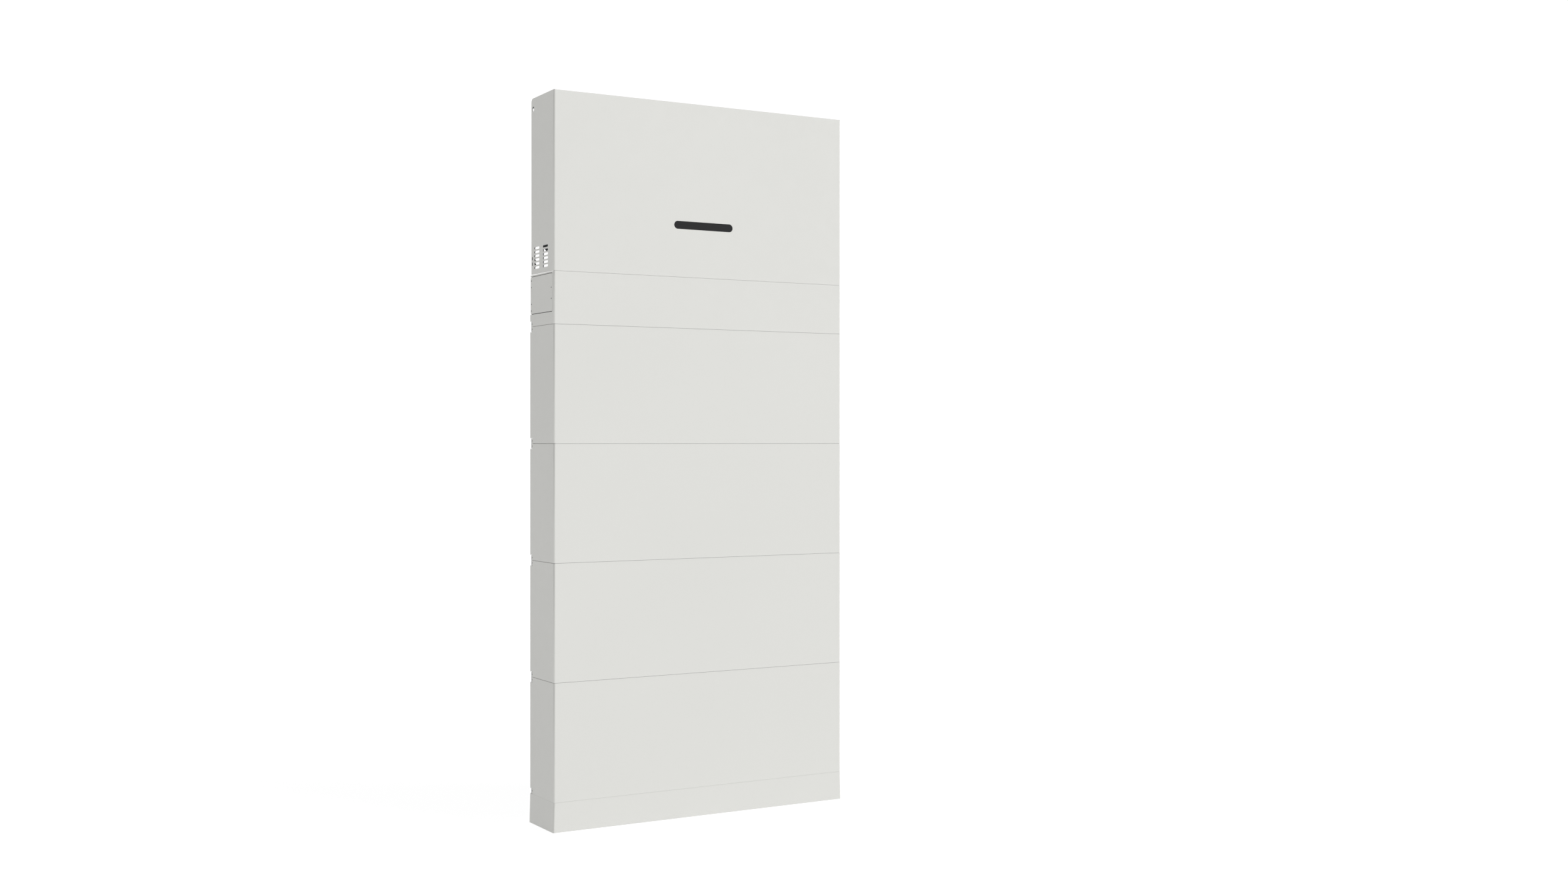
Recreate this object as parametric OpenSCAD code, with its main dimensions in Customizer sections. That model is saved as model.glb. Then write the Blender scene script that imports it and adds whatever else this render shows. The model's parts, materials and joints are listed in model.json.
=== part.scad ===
// Home battery stack: a plinth, four battery modules, a control box, and an
// inverter that hangs on its wall plate under a lift-off sheet-metal hood.
// The front is -Y, right is +X and up is +Z. The origin is the middle of the
// footprint, on the floor. The rear faces of the modules touch the wall.
// All sizes are in millimetres.

/* [Stack] */
// Width of every unit
body_w = 834.5; // [816:0.5:850]
// Depth of the modules and the control box
body_d = 150; // [150:1:158]
// Height of the plinth
plinth_h = 74; // [60:1:90]
// How far each side of the plinth spreads at the floor
plinth_flare = 2; // [1:0.5:4]
// Height that each battery module adds to the stack
module_h = 295; // [290:1:320]
// Height of the control box
control_h = 131; // [131:1:140]
// Open line between two units
seam = 0.8; // [0.6:0.1:1.6]
// Bend radius of the upright front edges
edge_r = 4; // [3:0.5:6]
// Thickness of the painted sheet
sheet = 1.5; // [1.2:0.1:1.8]

/* [Hood] */
// Height of the hood
hood_h = 446; // [440:1:470]
// Depth of the hood's sides
hood_d = 142.5; // [141:0.5:142.5]
// Fall of the hood's top from front to rear
hood_fall = 1.8; // [1:0.1:3]
// Radius of the upper rear corners of the hood's sides
hood_corner_r = 9.5; // [6:0.5:12]
// Rows of vent slots in each side
vent_rows = 6; // [3:1:6]
// Length of one vent slot
vent_l = 31.5; // [20:0.5:32]
// Height of one vent slot
vent_w = 6; // [4:0.5:7]
// Distance between two rows of vent slots
vent_pitch = 9.8; // [9:0.1:11]
// Length of the badge on the front
badge_l = 170; // [100:2:180]
// Height of the badge on the front
badge_h = 20; // [16:1:30]

/* [Inverter] */
// Width of the inverter's housing
inverter_w = 480; // [440:5:500]
// Height of the inverter's housing
inverter_h = 322; // [300:2:322]
// Number of heat sink fins
fin_count = 25; // [9:2:29]

/* [Battery cells] */
// Number of cells in one module
cell_count = 16; // [8:1:16]
// Distance between two cells
cell_pitch = 30.5; // [30:0.1:31]

/* [Service side] */
// Gap in front of each side cover
cover_gap = 0.8; // [0.6:0.1:1]
// Gap above and below each side cover
cover_gap_z = 1.6; // [1:0.1:1.8]
// Travel of the power button
button_travel = 2.5; // [1:0.5:3]

/* [Hidden] */
hw = body_w / 2;
hd = body_d / 2;
module_count = 4;
case_h = module_h - seam;
control_z = plinth_h + module_count * module_h;
hood_z = control_z + control_h;
top_z = hood_z + hood_h;
hood_rear = hood_d - hd;
inner_w = body_w - 2 * sheet;
inner_r = edge_r - sheet;
rim = 12;
over = 1;

// Notches at the rear corners. A link block in the front of each one joins two units.
notch_d = 14.4;
notch_w = 22;
notch_half = 13.1;
link_t = 5.4;
link_gap = 0.4;
link_y = hd - notch_d + 0.2;
link_screw_x = hw - 8.4;
link_screw_l = 8;
link_screw_y = link_y + 3.4;
link_screw_r = 1.7;
link_screw_pitch = 6.8;

// Locating pins and blind-mating connectors between the units
pin_x = hw - 36;
pin_r = 5;
pin_shank_r = 4;
pin_l = 12;
pin_clear = 0.4;
pin_fit = 0.1;
pin_nut_r = 7.5;
plug_x = hw - 86;
plug_size = [58, 30];
plug_rise = 12;
plug_pin_x = 18;
plug_body = [66, 38, 20];
socket_body = [74, 46, 26];
plinth_gap = 0.3;

// Battery cells inside one module
cell_size = [29.3, 135, 222];
cell_z = 15;
pack_end = 10;
pack_half = cell_count * cell_pitch / 2;
pole_y = 40;
pole_r = 5;
pole_h = 4;
board_t = 1.6;

// Control box: its top falls a little to the rear, and a side cover closes each bay
control_front_h = control_h - 0.8;
control_rear_h = control_h - 1.8;
control_rear_y = hd - 8;
cover_front_y = -hd + 9.5;
cover_rear_y = hd - 2.4;
cover_low = 31.9;
cover_top_front = 125.6;
cover_top_rear = 124.4;
cover_r = 4.5;
cover_t = 1.6;
recess_d = 2;
recess_rear_y = hd - 4;
recess_wall_x = hw - recess_d - sheet;
bay_x = hw - 86;
partition_low = 32;
bay_open = [[-50, 42], [50, 115]];
cover_screw_r = 1.6;
cover_shank_r = 1;
cover_screws = [[-58.5, 63], [-58.5, 90.5], [66.5, 39.5], [66.5, 56], [66.5, 98.5], [66.5, 115]];

// Breaker and power button in the right bay
breaker_x = hw - 84;
breaker_y = -18;
breaker_z = control_z + 78;
breaker_front = hw - 26;
lever_x = breaker_front - 4;
lever_r = 6.4;
lever_l = 21;
lever_rest = 35;
switch_panel_x = hw - 28;
button_y = 32;
button_z = control_z + 96;
button_r = 7;
button_clear = 0.4;
light_z = control_z + 74;
light_r = 2.6;

// Cable glands from the left bay up into the hood
gland_x = -hw + 68;
gland_y = [-22, 22];
gland_r = 12;
gland_bore = 7;

// Wall plate behind the inverter
plate_y = hood_rear - 1.5;
plate_t = 2;
plate_half = hw - 30;
plate_low = hood_z + 61;
plate_high = top_z - 10;
plate_chamfer = 12;
anchor_r = 4.5;
anchor_x = 300;
anchor_z = [plate_low + 44, plate_low + 324];
rail_w = 30;
hook_z = top_z - 28.5;
hook_y = -hd + 131;
clip_y = -hd + 137;
clip_z = [hood_z + 26.7, hood_z + 40.5];
arm_x = hw - sheet - 1.2;
arm_low = plate_low + plate_chamfer + 4;
arm_h = 16;
clip_strip_w = 4.5;
clip_end = 7;
hook_arm_h = 10;
vent_y = [53.25, 107.5];
vent_low = 16;
badge_z = hood_z + 133;
badge_t = 0.9;

// Brackets that hold the stack to the wall, behind the control box
bracket_w = 40;
bracket_t = 2;
bracket_jog_z = control_z + 104;
bracket_hole_z = hood_z + 35;

// Inverter under the hood
inv_x = inverter_w / 2;
inv_z = plate_low + 34;
inv_front = -hd + 19;
inv_mid = inv_front + 66;
sink_base = 8;
fin_t = 3;
cover_plate_t = 4;
isolator_y = inv_front + 33;
isolator_z = inv_z + 60;
knob_r = 17;
knob_x = inv_x + 14;

paint = [0.87, 0.875, 0.85];
zinc = [0.62, 0.64, 0.66];
black = [0.12, 0.12, 0.13];
alloy = [0.72, 0.73, 0.74];
copper = [0.80, 0.50, 0.30];
board = [0.08, 0.32, 0.18];
cell_blue = [0.16, 0.34, 0.56];
steel = [0.55, 0.56, 0.58];
red = [0.75, 0.12, 0.10];

module_parts = ["case", "rear_cover", "cells", "pack_frame", "busbars", "monitor_board"];

// Height of the lower edge of unit n: module 1 stands on the plinth
function unit_z(n) = plinth_h + (n - 1) * module_h;

// Footprint with rounded front corners, from y0 at the front to y1 at the rear
module plan(w, y0, y1, r) {
    translate([-w / 2, y0 + r]) square([w, y1 - y0 - r]);
    translate([-w / 2 + r, y0]) square([w - 2 * r, y1 - y0]);
    for (s = [-1, 1]) translate([s * (w / 2 - r), y0 + r]) circle(r, $fn = 48);
}

// Rectangle from corner p to corner q with round corners
module round_box(p, q, r) {
    translate([p[0] + r, p[1]]) square([q[0] - p[0] - 2 * r, q[1] - p[1]]);
    translate([p[0], p[1] + r]) square([q[0] - p[0], q[1] - p[1] - 2 * r]);
    for (x = [p[0] + r, q[0] - r], y = [p[1] + r, q[1] - r]) translate([x, y]) circle(r, $fn = 32);
}

// Slot with round ends along X, centred
module slot_2d(l, w) {
    square([l - w, w], center = true);
    for (s = [-1, 1]) translate([s * (l - w) / 2, 0]) circle(w / 2, $fn = 32);
}

// Sheet that lies across X: a Y-Z outline, from x on, t thick
module sheet_x(x, t) {
    translate([x, 0, 0]) rotate([90, 0, 90]) linear_extrude(t) children();
}

// Sheet that lies across Y: an X-Z outline, from y on, t thick
module sheet_y(y, t) {
    translate([0, y + t, 0]) rotate([90, 0, 0]) linear_extrude(t) children();
}

// A piece and its mirror image on the other side
module pair() {
    children();
    mirror([1, 0, 0]) children();
}

// Rod along X from x, rod along Y from y
module rod_x(x, y, z, r, l) {
    translate([x, y, z]) rotate([0, 90, 0]) cylinder(r = r, h = l, $fn = 32);
}

module rod_y(x, y, z, r, l) {
    translate([x, y, z]) rotate([-90, 0, 0]) cylinder(r = r, h = l, $fn = 32);
}

// Y-Z outline of a box whose top falls from the front to the rear
module falling_outline(y0, y1, z0, z_front, z_rear) {
    polygon([[y0, z0], [y1, z0], [y1, z_rear], [y0, z_front]]);
}

// ---- Plinth and the parts between the units ----

module plinth_block(inset, z0, z1) {
    flare_at = [for (z = [z0, z1]) plinth_flare * (1 - z / plinth_h)];
    hull() {
        for (i = [0, 1]) {
            translate([0, 0, [z0, z1][i] - i * 0.01]) linear_extrude(0.01)
                plan(body_w + 2 * flare_at[i] - 2 * inset, -hd + inset, hd - inset, edge_r - inset);
        }
    }
}

module plinth() {
    top = plinth_h - plinth_gap;
    color(paint) difference() {
        plinth_block(0, 0, top);
        plinth_block(sheet, sheet, top - sheet);
        pin_holes(top - sheet - over, pin_shank_r + pin_fit);
    }
}

// Top face of the unit below interface k
function lower_top(k) = k == 0 ? plinth_h - plinth_gap : unit_z(k + 1) - seam;

module locating_pins() {
    tail = 6;
    nut_h = 5;
    tip = 3;
    color(steel) for (k = [0:module_count]) {
        pair() translate([pin_x, 0, lower_top(k)]) {
            translate([0, 0, -sheet - tail]) cylinder(r = pin_shank_r, h = sheet + tail + over, $fn = 32);
            cylinder(r = pin_r, h = pin_l - tip, $fn = 32);
            translate([0, 0, pin_l - tip]) cylinder(r1 = pin_r, r2 = pin_r - 2, h = tip, $fn = 32);
            translate([0, 0, -sheet - nut_h]) cylinder(r = pin_nut_r, h = nut_h, $fn = 6);
        }
    }
}

module stack_plugs() {
    color(black) for (k = [1:module_count]) {
        translate([plug_x, 0, lower_top(k)]) {
            translate([0, 0, -sheet - plug_body[2] / 2]) cube(plug_body, center = true);
            difference() {
                translate([0, 0, -sheet - over]) linear_extrude(sheet + over + plug_rise)
                    round_box(-plug_size / 2, plug_size / 2, 4);
                for (s = [-1, 1]) translate([s * plug_pin_x, 0, 2]) cylinder(r = 5, h = plug_rise, $fn = 32);
                translate([0, 0, plug_rise / 2 + 2]) cube([10, 16, plug_rise], center = true);
            }
        }
    }
}

module stack_sockets() {
    color(black) for (k = [1:module_count + 1]) {
        translate([plug_x, 0, unit_z(k) + sheet]) {
            difference() {
                translate([-socket_body[0] / 2, -socket_body[1] / 2, 0]) cube(socket_body);
                translate([0, 0, -over]) linear_extrude(plug_rise + over + 2)
                    round_box(-plug_size / 2 - [1, 1], plug_size / 2 + [1, 1], 5);
            }
            for (s = [-1, 1]) translate([s * plug_pin_x, 0, 3]) cylinder(r = 3, h = plug_rise + 2, $fn = 32);
        }
    }
}

// Middle of the open line at interface k
function seam_mid(k) = k == 0 ? plinth_h : unit_z(k + 1) - seam / 2;

// Links fill the notches at each seam. The lowest ones are half as tall.
module link_blocks() {
    color(paint) for (k = [0:module_count]) {
        low = k == 0 ? link_gap / 2 : -notch_half + link_gap;
        pair() difference() {
            translate([hw - notch_w + 1, link_y, seam_mid(k) + low])
                cube([notch_w - 1.4, link_t, notch_half - link_gap - low]);
            link_screw_holes(k);
        }
    }
}

module link_screw_holes(k) {
    for (s = k == 0 ? [1] : [-1, 1]) {
        rod_x(link_screw_x, link_screw_y, seam_mid(k) + s * link_screw_pitch, link_screw_r + 0.1,
            link_screw_l + 4);
    }
}

module link_screws() {
    color(steel) for (k = [0:module_count]) {
        pair() for (s = k == 0 ? [1] : [-1, 1]) {
            rod_x(link_screw_x, link_screw_y, seam_mid(k) + s * link_screw_pitch, link_screw_r, link_screw_l);
        }
    }
}

// ---- Battery modules ----

// Walls of one notch pocket at height z, and the notch itself
module notch_walls(z) {
    pair() translate([hw - notch_w - sheet, hd - notch_d - sheet, z])
        cube([notch_w + sheet, notch_d + sheet, notch_half + sheet]);
}

module notch(z) {
    pair() translate([hw - notch_w, hd - notch_d, z])
        cube([notch_w + over, notch_d + over, notch_half + over]);
}

module pin_holes(z, r) {
    pair() translate([pin_x, 0, z]) cylinder(r = r, h = sheet + 2 * over, $fn = 32);
}

module connector_opening(z, grow) {
    translate([plug_x, 0, z]) linear_extrude(sheet + 2 * over)
        round_box(-plug_size / 2 - [grow, grow], plug_size / 2 + [grow, grow], 5);
}

module module_case(n) {
    z0 = unit_z(n);
    z1 = z0 + case_h;
    color(paint) difference() {
        union() {
            difference() {
                translate([0, 0, z0]) linear_extrude(case_h) plan(body_w, -hd, hd, edge_r);
                translate([0, 0, z0 + sheet]) linear_extrude(case_h - 2 * sheet)
                    plan(inner_w, -hd + sheet, hd + over, inner_r);
            }
            sheet_y(hd - 2 * sheet, sheet) difference() {
                translate([-hw, z0]) square([body_w, case_h]);
                translate([-hw + rim + sheet, z0 + rim + sheet])
                    square([inner_w - 2 * rim, case_h - 2 * rim - 2 * sheet]);
            }
            notch_walls(z0);
            notch_walls(z1 - notch_half - sheet);
        }
        notch(z0 - over);
        notch(z1 - notch_half);
        pin_holes(z0 - over, pin_r + pin_clear);
        pin_holes(z1 - sheet - over, pin_shank_r + pin_fit);
        connector_opening(z0 - over, 2);
        connector_opening(z1 - sheet - over, 1);
        pair() link_screw_holes(n - 1);
        pair() link_screw_holes(n);
    }
}

// Rear sheet with three stiffening beads, pressed inwards
module module_rear_cover(n) {
    z0 = unit_z(n);
    half = hw - sheet - 0.3;
    corner_w = notch_w + 0.3;
    corner_h = notch_half + sheet + 0.3;
    color(zinc) difference() {
        union() {
            sheet_y(hd - sheet, sheet) difference() {
                translate([-half, z0 + sheet + 0.3]) square([2 * half, case_h - 2 * sheet - 0.6]);
                for (s = [-1, 1], t = [0, 1]) {
                    translate([s * hw - (s + 1) / 2 * (corner_w + sheet), z0 + t * (case_h - corner_h)])
                        square([corner_w + sheet, corner_h]);
                }
            }
            for (x = [-1, 0, 1]) {
                sheet_y(hd - 2 * sheet, sheet) translate([x * 240, z0 + case_h / 2]) slot_2d(190, 34);
            }
        }
        for (x = [-1, 0, 1]) {
            sheet_y(hd - sheet, sheet + over) translate([x * 240, z0 + case_h / 2]) slot_2d(186, 30);
        }
    }
}

function cell_x(i) = (i - (cell_count - 1) / 2) * cell_pitch;

module module_cells(n) {
    color(cell_blue) for (i = [0:cell_count - 1]) {
        translate([cell_x(i), 0, unit_z(n) + cell_z]) {
            translate([-cell_size[0] / 2, -cell_size[1] / 2, 0]) cube(cell_size);
            for (s = [-1, 1]) translate([0, s * pole_y, cell_size[2] - over])
                cylinder(r = pole_r, h = pole_h + over, $fn = 32);
        }
    }
}

// Tray on two cross rails, ribbed end plates and two steel straps
module module_pack_frame(n) {
    low = unit_z(n) + sheet;
    tray_z = unit_z(n) + cell_z - 3;
    depth = cell_size[1];
    color(alloy) {
        translate([-pack_half - pack_end, -depth / 2, tray_z])
            cube([2 * pack_half + 2 * pack_end, depth, 3]);
        pair() {
            translate([pack_half - 40, -depth / 2, low]) cube([24, depth, tray_z - low]);
            translate([pack_half, -depth / 2, tray_z]) cube([pack_end, depth, cell_size[2] + 3]);
            for (y = [-45, 0, 45]) {
                translate([pack_half + pack_end - over, y - 2, tray_z]) cube([13, 4, cell_size[2] - 40]);
            }
        }
        for (z = [60, 160]) {
            pair() translate([pack_half, -depth / 2 - 1.2, tray_z + z]) cube([pack_end, depth + 2.4, 18]);
            for (s = [-1, 1]) {
                translate([-pack_half, s > 0 ? depth / 2 + 0.2 : -depth / 2 - 1.2, tray_z + z])
                    cube([2 * pack_half, 1, 18]);
            }
        }
    }
}

module module_busbars(n) {
    top = unit_z(n) + cell_z + cell_size[2] + pole_h;
    color(copper) for (i = [0:cell_count - 2]) {
        y = (i % 2 == 0 ? 1 : -1) * pole_y;
        translate([(cell_x(i) + cell_x(i + 1)) / 2 - 21.5, y - 9, top]) cube([43, 18, 2]);
    }
}

module module_monitor_board(n) {
    top = unit_z(n) + cell_z + cell_size[2];
    color(board) {
        translate([-200, -16, top + 13]) cube([400, 32, board_t]);
        for (x = [-180, -60, 60, 180]) {
            translate([x, 0, top]) cylinder(r = 3, h = 13 + board_t / 2, $fn = 32);
        }
        for (x = [-150:60:150]) translate([x - 7, -7, top + 13]) cube([14, 14, 4]);
        translate([184, -12, top + 13]) cube([12, 24, 9]);
    }
}

// ---- Control box ----

// Y-Z outline of a side cover with round front corners, grown by gap_y at the
// front and by gap_z above and below
module cover_outline(gap_y, gap_z, rear) {
    y0 = cover_front_y - gap_y;
    z0 = control_z + cover_low - gap_z;
    z1 = control_z + cover_top_front + gap_z;
    r = cover_r + gap_y;
    difference() {
        falling_outline(y0, rear, z0, z1, control_z + cover_top_rear + gap_z);
        translate([y0 - over, z0 - over]) corner_trim(r, r + over);
        translate([y0 - over, z1 - r]) corner_trim(r, 0);
    }
}

// What a round front corner leaves of its square, with the arc's centre at height z
module corner_trim(r, z) {
    difference() {
        square([r + over, r + over]);
        translate([r + over, z]) circle(r, $fn = 48);
    }
}

module control_block(inset, y1) {
    z0 = control_z + inset;
    intersection() {
        translate([0, 0, z0]) linear_extrude(control_h)
            plan(body_w - 2 * inset, -hd + inset, y1, edge_r - inset);
        sheet_x(-hw - over, body_w + 2 * over) falling_outline(-hd - over, y1, z0,
            control_z + control_front_h - inset, control_z + control_rear_h - inset);
    }
}

module control_case() {
    color(paint) difference() {
        union() {
            difference() {
                control_block(0, hd);
                difference() {
                    control_block(sheet, hd + over);
                    pair() sheet_x(recess_wall_x, recess_d) falling_outline(cover_front_y - 6, recess_rear_y,
                        control_z + cover_low - 6, control_z + control_h, control_z + control_h);
                    pair() translate([bay_x - sheet, -hd, control_z + partition_low])
                        cube([sheet, hd + control_rear_y - sheet, control_h]);
                    translate([switch_panel_x, 10, control_z]) cube([sheet, 44, control_h]);
                }
            }
            notch_walls(control_z);
        }
        notch(control_z - over);
        pair() link_screw_holes(module_count);
        // The rear stops short above the lower band
        translate([-hw - over, cover_rear_y, control_z + cover_low - cover_gap_z])
            cube([body_w + 2 * over, 20, control_h]);
        // Recess, its open rear end and the bay's opening
        pair() {
            sheet_x(hw - recess_d, recess_d + over) cover_outline(cover_gap, cover_gap_z, hd + over);
            translate([recess_wall_x - over, recess_rear_y, control_z + cover_low - cover_gap_z])
                cube([recess_d + sheet + 2 * over, 20, cover_top_rear - cover_low + cover_gap_z]);
            sheet_x(recess_wall_x - over, sheet + 2 * over) translate([0, control_z])
                round_box(bay_open[0], bay_open[1], 4);
            for (p = cover_screws) {
                rod_x(recess_wall_x - over, p[0], control_z + p[1], cover_shank_r + 0.4, sheet + 2 * over);
            }
            rod_x(bay_x - sheet - over, -52, control_z + 100, 9, sheet + 2 * over);
        }
        // Room for the wall brackets behind the box
        pair() translate([anchor_x - bracket_w / 2 - 2, control_rear_y - 0.5, bracket_jog_z - 60])
            cube([bracket_w + 4, 20, control_h]);
        // Holes for the power button, the status lights and the cable glands
        rod_x(switch_panel_x - over, button_y, button_z, button_r + button_clear, sheet + 2 * over);
        for (i = [0:2]) rod_x(switch_panel_x - over, light_y(i), light_z, light_r, sheet + 2 * over);
        for (y = gland_y) translate([gland_x, y, hood_z - 8]) cylinder(r = gland_r, h = 9, $fn = 32);
        pin_holes(control_z - over, pin_r + pin_clear);
        connector_opening(control_z - over, 2);
    }
}

function light_y(i) = button_y + (i - 1) * 9;

// Cover behind the control box, set in to leave a cable duct at the wall
module control_rear_cover() {
    half = recess_wall_x - 0.3;
    z0 = control_z + sheet + 0.2;
    height = control_rear_h - 2 * sheet - 0.4;
    color(zinc) difference() {
        sheet_y(control_rear_y - sheet, sheet) translate([-half, z0]) square([2 * half, height]);
        pair() translate([hw - notch_w - sheet - 0.3, 0, control_z - over])
            cube([notch_w + 2, hd, notch_half + sheet + over + 0.3]);
    }
}

module control_board() {
    z0 = control_z + 16;
    color(board) {
        translate([-300, 52, z0]) cube([330, board_t, 96]);
        for (x = [-280:62:20], z = [10, 80]) {
            rod_y(x, 52 + board_t / 2, z0 + z, 3, control_rear_y - sheet - 52 - board_t / 2);
        }
        for (x = [-270:54:-30]) translate([x, 46, z0 + 30]) cube([26, 7, 26]);
        translate([-20, 38, z0 + 20]) cube([36, 15, 50]);
    }
}

// Two contactors, a long fuse and a shunt on a common base
module contactors() {
    z0 = control_z + 14;
    color(black) {
        translate([40, -50, z0 - 4]) cube([246, 100, 5]);
        for (x = [46, 114]) {
            translate([x, -38, z0]) cube([58, 62, 78]);
            for (y = [-24, 8]) translate([x + 29, y, z0 + 77]) cylinder(r = 6, h = 8, $fn = 32);
        }
        translate([186, 10, z0]) cube([90, 14, 12]);
        rod_x(188, -24, z0 + 26, 14, 84);
        for (x = [196, 254]) translate([x, -28, z0]) cube([10, 8, 20]);
    }
}

module breaker_body() {
    w = 36;
    color(black) difference() {
        union() {
            translate([breaker_x, breaker_y - w / 2, breaker_z - 42]) cube([46, w, 84]);
            translate([breaker_x + 45, breaker_y - w / 2, breaker_z - 22])
                cube([breaker_front - breaker_x - 45, w, 44]);
        }
        rod_y(lever_x, breaker_y - 15.5, breaker_z, lever_r + 2.1, 31);
        for (y = [-9, 9], z = [-34, 34]) rod_x(breaker_x + 38, breaker_y + y, breaker_z + z, 3, 10);
        translate([breaker_x - over, breaker_y - w / 2 - over, breaker_z - 17.5])
            cube([7, w + 2 * over, 35]);
    }
}

module breaker_lever() {
    color(red) {
        rod_y(lever_x, breaker_y - 15, breaker_z, lever_r, 30);
        translate([lever_x, breaker_y, breaker_z]) rotate([0, -lever_rest, 0]) {
            translate([0, -13, -2.5]) cube([lever_l - 2.5, 26, 5]);
            translate([lever_l - 2.5, -13, 0]) rotate([-90, 0, 0]) cylinder(r = 2.5, h = 26, $fn = 32);
        }
    }
}

module power_button() {
    color(black) {
        rod_x(switch_panel_x - 6, button_y, button_z, button_r, 9.5 + sheet + button_travel);
        rod_x(switch_panel_x - 3.3, button_y, button_z, button_r + 2, 3);
    }
}

module status_lights() {
    color([0.6, 0.9, 0.6]) for (i = [0:2]) {
        rod_x(switch_panel_x - 3, light_y(i), light_z, light_r, 3 + sheet + 1);
        rod_x(switch_panel_x - 3, light_y(i), light_z, light_r + 1, 3);
    }
}

module terminal_blocks() {
    color(black) for (z = [44, 84]) difference() {
        translate([-bay_x - 40, -44, control_z + z]) cube([40, 76, 28]);
        for (y = [-34:17:20]) {
            rod_x(-bay_x - 41, y, control_z + z + 9, 4, 26);
            rod_x(-bay_x - 41, y, control_z + z + 21, 3, 8);
        }
    }
}

// Glands in the control box's top, where the cables go up into the hood
module cable_glands() {
    top = control_z + (control_front_h + control_rear_h) / 2;
    color(black) for (y = gland_y) translate([gland_x, y, top]) difference() {
        union() {
            translate([0, 0, -sheet - 12]) cylinder(r = gland_r - 0.3, h = 13 + sheet, $fn = 32);
            translate([0, 0, -sheet - 7]) cylinder(r = 17, h = 5.6, $fn = 6);
            translate([0, 0, 0.6]) cylinder(r = 16, h = 5, $fn = 6);
            translate([0, 0, 5]) cylinder(r1 = 13, r2 = 9.5, h = 13, $fn = 48);
        }
        translate([0, 0, -20]) cylinder(r = gland_bore, h = 50, $fn = 32);
    }
}

module side_cover() {
    color(paint) difference() {
        sheet_x(hw - cover_t, cover_t) intersection() {
            cover_outline(0, 0, cover_rear_y);
            // Round rear corners
            union() {
                translate([-hd, control_z]) square([hd + cover_rear_y - cover_r, control_h]);
                translate([cover_rear_y - cover_r - over, control_z + cover_low + cover_r])
                    square([cover_r + over, cover_top_rear - cover_low - 2 * cover_r]);
                for (z = [cover_low + cover_r, cover_top_rear - cover_r])
                    translate([cover_rear_y - cover_r, control_z + z]) circle(cover_r, $fn = 48);
            }
        }
        for (p = cover_screws) rod_x(hw - 5, p[0], control_z + p[1], cover_shank_r + 0.2, 6);
    }
}

module side_cover_screws() {
    reach = recess_d + sheet + 0.2;
    color(steel) for (p = cover_screws) {
        rod_x(hw - reach, p[0], control_z + p[1], cover_shank_r, reach + 0.4);
        rod_x(hw, p[0], control_z + p[1], cover_screw_r, 0.8);
    }
}

// ---- Wall side ----

// Z-shaped brackets: the lower leg on the control box, the upper leg on the wall
module wall_brackets() {
    color(zinc) pair() difference() {
        sheet_x(anchor_x - bracket_w / 2, bracket_w) union() {
            translate([control_rear_y, bracket_jog_z - 54]) square([bracket_t, 54 + bracket_t]);
            translate([control_rear_y, bracket_jog_z]) square([hd - control_rear_y, bracket_t]);
            translate([hd - bracket_t, bracket_jog_z])
                square([bracket_t, bracket_hole_z + 20 - bracket_jog_z]);
        }
        rod_y(anchor_x, hd - bracket_t - over, bracket_hole_z, anchor_r, bracket_t + 2 * over);
    }
}

module wall_plate() {
    color(zinc) difference() {
        union() {
            sheet_y(plate_y, plate_t) {
                polygon([[-plate_half + plate_chamfer, plate_low], [plate_half - plate_chamfer, plate_low],
                         [plate_half, plate_low + plate_chamfer], [plate_half, plate_high],
                         [-plate_half, plate_high], [-plate_half, plate_low + plate_chamfer]]);
            }
            pair() {
                // Spacer rail against the wall
                translate([anchor_x - rail_w / 2, plate_y + plate_t - 0.01, plate_low + 14])
                    cube([rail_w, hd - plate_y - plate_t + 0.01, anchor_z[1] - anchor_z[0] + 60]);
                // Upper arm and its hook
                sheet_y(plate_y, plate_t) translate([plate_half - over, plate_high - hook_arm_h])
                    square([arm_x - plate_half + over, hook_arm_h]);
                sheet_x(arm_x - plate_t, plate_t) hook_outline();
                // Lower arm, and a narrow strip down to the clip that the hood snaps on
                sheet_y(plate_y, plate_t) {
                    translate([plate_half - over, arm_low]) square([arm_x - plate_half + over, arm_h]);
                    translate([arm_x - clip_strip_w, clip_z[0] - clip_end])
                        square([clip_strip_w, arm_low + over - clip_z[0] + clip_end]);
                }
                sheet_x(arm_x - plate_t, plate_t) translate([clip_y - 6, clip_z[0] - clip_end])
                    square([plate_y + plate_t - clip_y + 6, clip_z[1] - clip_z[0] + 2 * clip_end]);
            }
        }
        for (s = [-1, 1], z = anchor_z) rod_y(s * anchor_x, plate_y - over, z, anchor_r, 20);
        for (x = [-1, 0, 1], z = [0, 1]) {
            sheet_y(plate_y - over, plate_t + 2 * over)
                translate([x * 140, plate_low + 90 + z * 180]) slot_2d(96, 40);
        }
    }
}

// J-shaped hook: a flange at the rear, and a nose with its tip turned up
module hook_outline() {
    nose_y = hook_y + 4;
    nose_z = hook_z + 3;
    translate([plate_y - 2, nose_z]) square([plate_t + 2, plate_high - nose_z]);
    translate([nose_y, nose_z]) square([plate_y - nose_y, 3.5]);
    translate([nose_y, nose_z]) square([1.6, 8]);
}

// ---- Inverter ----

module inverter_case() {
    color(alloy) difference() {
        sheet_y(inv_front + cover_plate_t, inv_mid - inv_front - cover_plate_t)
            round_box([-inv_x, inv_z], [inv_x, inv_z + inverter_h], 14);
        sheet_y(inv_front, inv_mid - inv_front - 4)
            round_box([-inv_x + 4, inv_z + 4], [inv_x - 4, inv_z + inverter_h - 4], 10);
    }
}

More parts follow.
